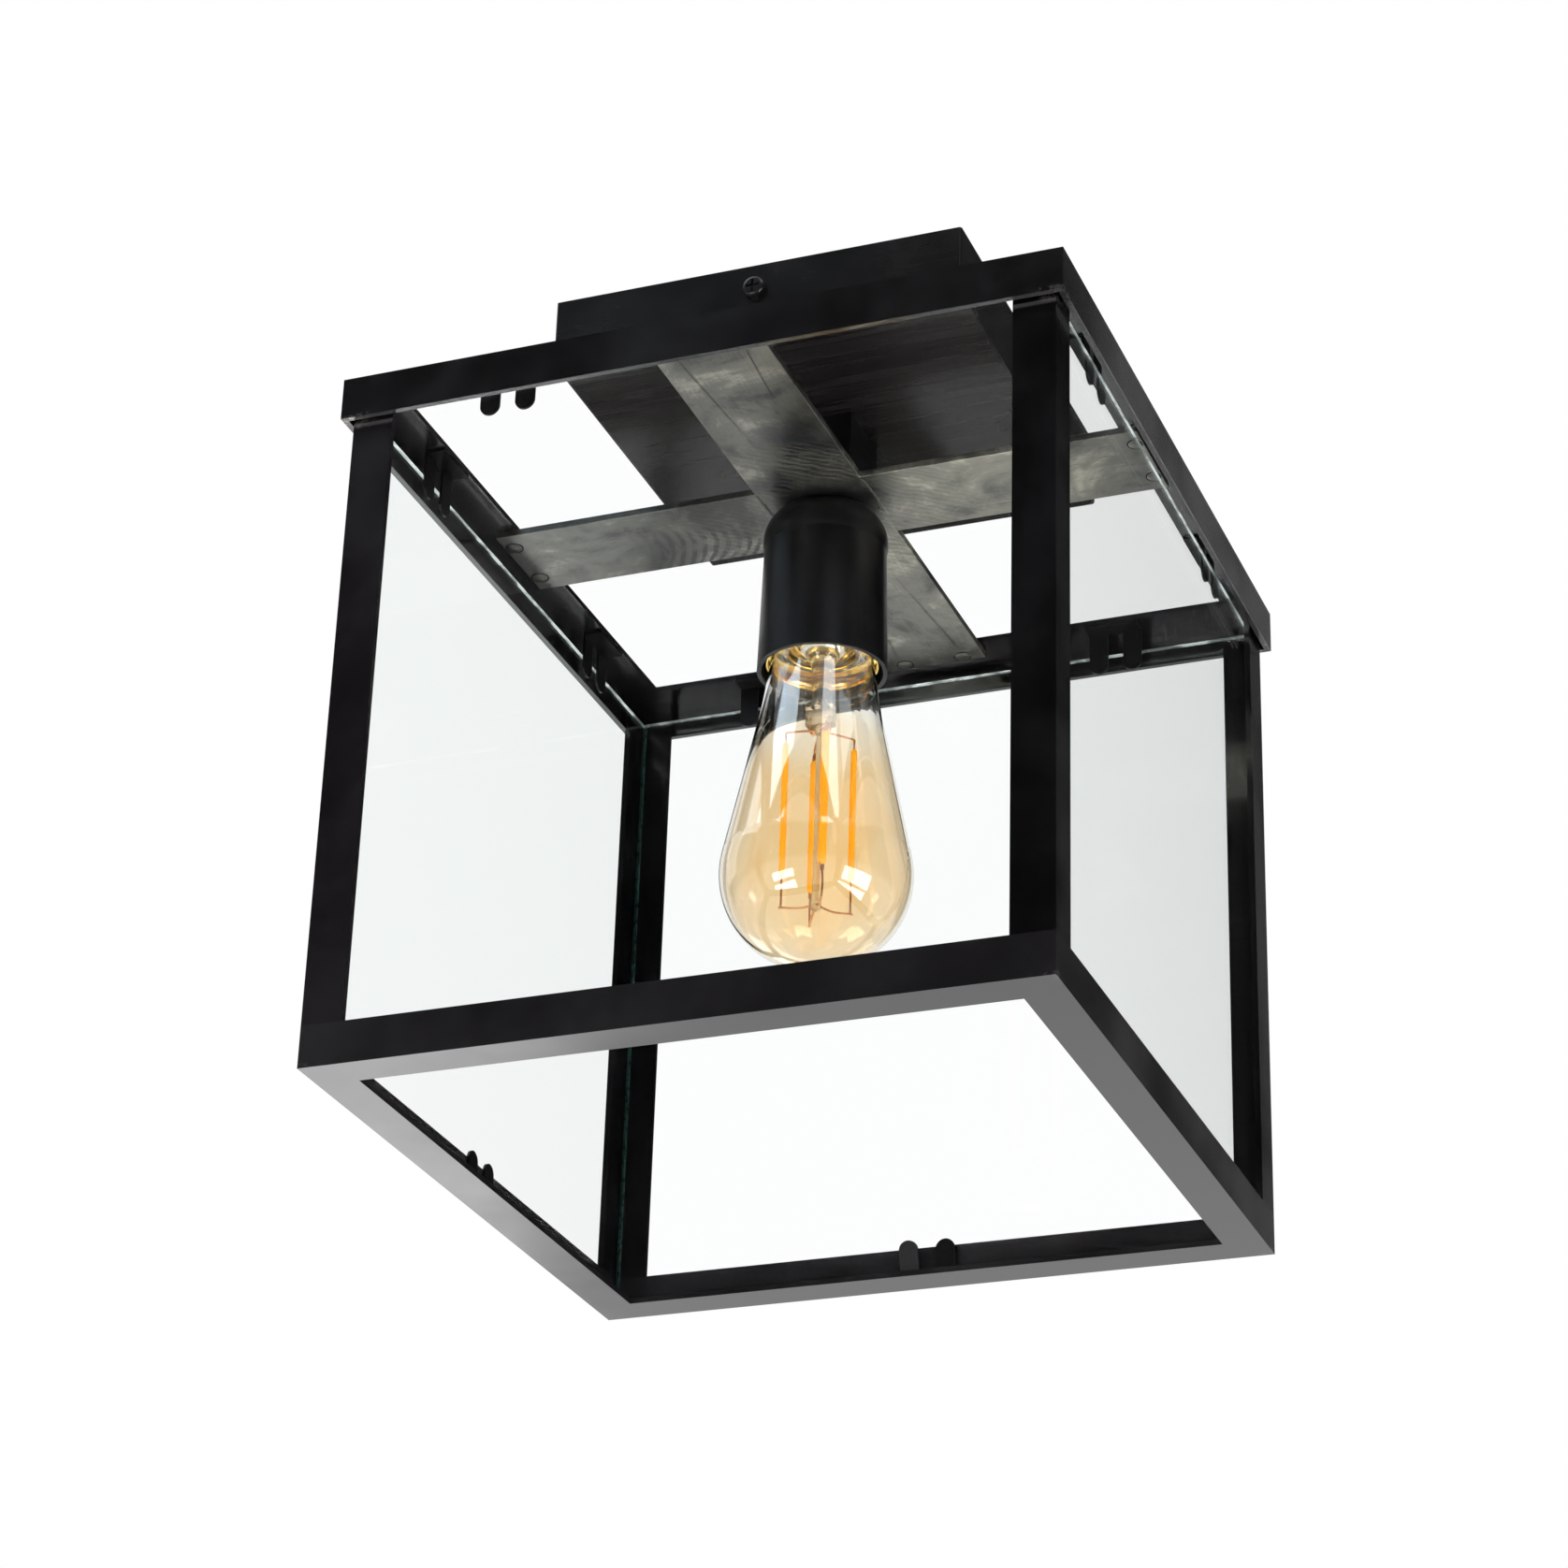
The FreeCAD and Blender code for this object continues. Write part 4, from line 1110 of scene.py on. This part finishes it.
@dataclass
class Studio:
    """Camera, floor, lamps and surroundings, in metres."""

    place: Vector = Vector((0.4413, -1.13684, -0.76525))
    right: Vector = Vector((0.933632, 0.357024, 0.029412))
    down: Vector = Vector((-0.134399, 0.425194, -0.895068))
    ahead: Vector = Vector((-0.332067, 0.831711, 0.444959))
    lens: float = 94.376
    sensor: float = 36.0
    clip: Span = (0.01, 60.0)
    floor_level: float = -2.2
    floor_half: float = 9.0
    floor_shade: Colour = (0.86, 0.86, 0.86)
    floor_glow: Colour = (0.35, 0.35, 0.35)
    soft_rise: Span = (-0.2, 0.35)
    soft_dome: Span = (0.95, 0.70)
    mirrored_rise: Span = (-0.10, 0.06)
    mirrored_dome: Span = (0.85, 0.010)
    overhead_rise: Span = (0.61, 0.73)
    overhead: float = 0.85
    board_near: Span = (0.72, 0.82)
    board: float = 0.95
    board_way: Point = (-0.520, 0.820, 0.240)
    panels: tuple[Panel, ...] = (
        Panel("window_left_top", -159.0, -19.0, 2.2, 1.02, 0.35, 12.0),
        Panel("window_left_low", -158.0, -34.0, 2.2, 1.02, 0.46, 12.0),
        Panel("window_right_top", 107.0, -17.0, 2.2, 1.43, 0.62, 12.0),
        Panel("window_right_low", 111.0, -33.0, 2.2, 1.60, 0.35, 12.0),
        Panel("sky_left", -130.0, 53.0, 2.4, 1.25, 0.80, 5.2, (0.66, 0.83, 1.0)),
        Panel("sky_right", 142.0, 52.0, 2.4, 0.75, 0.9, 4.8, (0.84, 0.92, 1.0)),
        Panel("sky_far_right", 104.0, 56.0, 2.4, 0.9, 0.7, 1.8, (0.70, 0.86, 1.0)),
        Panel("sky_neck_left", -106.0, 38.5, 2.4, 1.0, 0.32, 1.9, (0.70, 0.85, 1.0)),
        Panel("spark_left", -106.0, -20.0, 2.2, 0.30, 0.36, 3.0),
        Panel("spark_right", 70.0, -22.0, 2.2, 0.26, 0.34, 3.0),
        Panel("strip_front_left", -128.0, 20.0, 2.4, 0.26, 1.0, 2.4),
        Panel("strip_front_right", 138.0, 27.0, 2.4, 0.25, 1.1, 0.8),
        Panel("side_left", -84.0, 22.0, 2.4, 0.9, 1.2, 1.0, mirror_only=False),
        Panel("low_back_left", -42.0, -22.0, 2.4, 1.15, 1.1, 1.65, mirror_only=False),
    )

    def build(self) -> None:
        """Make everything round the object."""
        self.camera()
        self.floor()
        self.surroundings()
        for panel in self.panels:
            panel.build()

    def camera(self) -> None:
        """The camera of the photograph."""
        data = bpy.data.cameras.new("camera")
        data.lens, data.sensor_width, data.sensor_fit = self.lens, self.sensor, "HORIZONTAL"
        data.clip_start, data.clip_end = self.clip
        camera = bpy.data.objects.new("camera", data)
        turn = Matrix((self.right, -self.down, -self.ahead)).transposed().to_4x4()
        camera.matrix_world = Matrix.Translation(self.place) @ turn
        bpy.context.scene.collection.objects.link(camera)
        bpy.context.scene.camera = camera

    def floor(self) -> None:
        """A plain floor far below the lantern, which glows where it is seen as a picture."""
        mesh = bpy.data.meshes.new("floor")
        h, z = self.floor_half, self.floor_level
        mesh.from_pydata([(-h, -h, z), (h, -h, z), (h, h, z), (-h, h, z)], [], [(0, 1, 2, 3)])
        floor = bpy.data.objects.new("floor", mesh)
        bpy.context.scene.collection.objects.link(floor)
        bench = NodeBench("pale_floor")
        path = bench.add("LightPath").outputs
        seen = bench.most(bench.most(path["Is Camera Ray"], path["Is Transmission Ray"]),
                          path["Is Glossy Ray"])
        bench.set(Base_Color=self.floor_shade, Roughness=0.9, Emission_Color=self.floor_glow,
                  Emission_Strength=seen)
        mesh.materials.append(bench.material)

    def surroundings(self) -> None:
        """White as a picture and through glass, a soft dome for light and reflections."""
        bench = WorldBench("surroundings")
        level = bench.add("SeparateXYZ", Vector=bench.way()).outputs["Z"]
        soft = bench.band(level, *self.soft_rise, *self.soft_dome)
        dome = bench.most(bench.band(level, *self.mirrored_rise, *self.mirrored_dome),
                          bench.band(level, *self.overhead_rise, 0.0, self.overhead))
        board = bench.band(bench.toward(self.board_way), *self.board_near, 0.0, self.board)
        path = bench.add("LightPath").outputs
        bounced, mirror = (bench.math("GREATER_THAN", path[kind + " Depth"], 0.5)
                           for kind in ("Diffuse", "Glossy"))
        shown = bench.mix(mirror, 1.0, bench.most(dome, board))
        bench.plug(bench.sky.inputs["Strength"], bench.mix(bounced, shown, soft))


def main() -> None:
    """Build and dress every sub-assembly, then the studio."""
    logging.basicConfig(level=logging.INFO, format="%(name)s: %(message)s")
    scene = bpy.context.scene
    scene.view_settings.view_transform = "Standard"
    scene.cycles.max_bounces = scene.cycles.transmission_bounces = GLASS_BOUNCES
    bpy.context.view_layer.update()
    for part in (Cage(), Cross(), Canopy(), Lampholder(), Bulb(), Studio()):
        part.build()
        LOG.info("built %s", type(part).__name__)


if __name__ == "__main__":
    main()
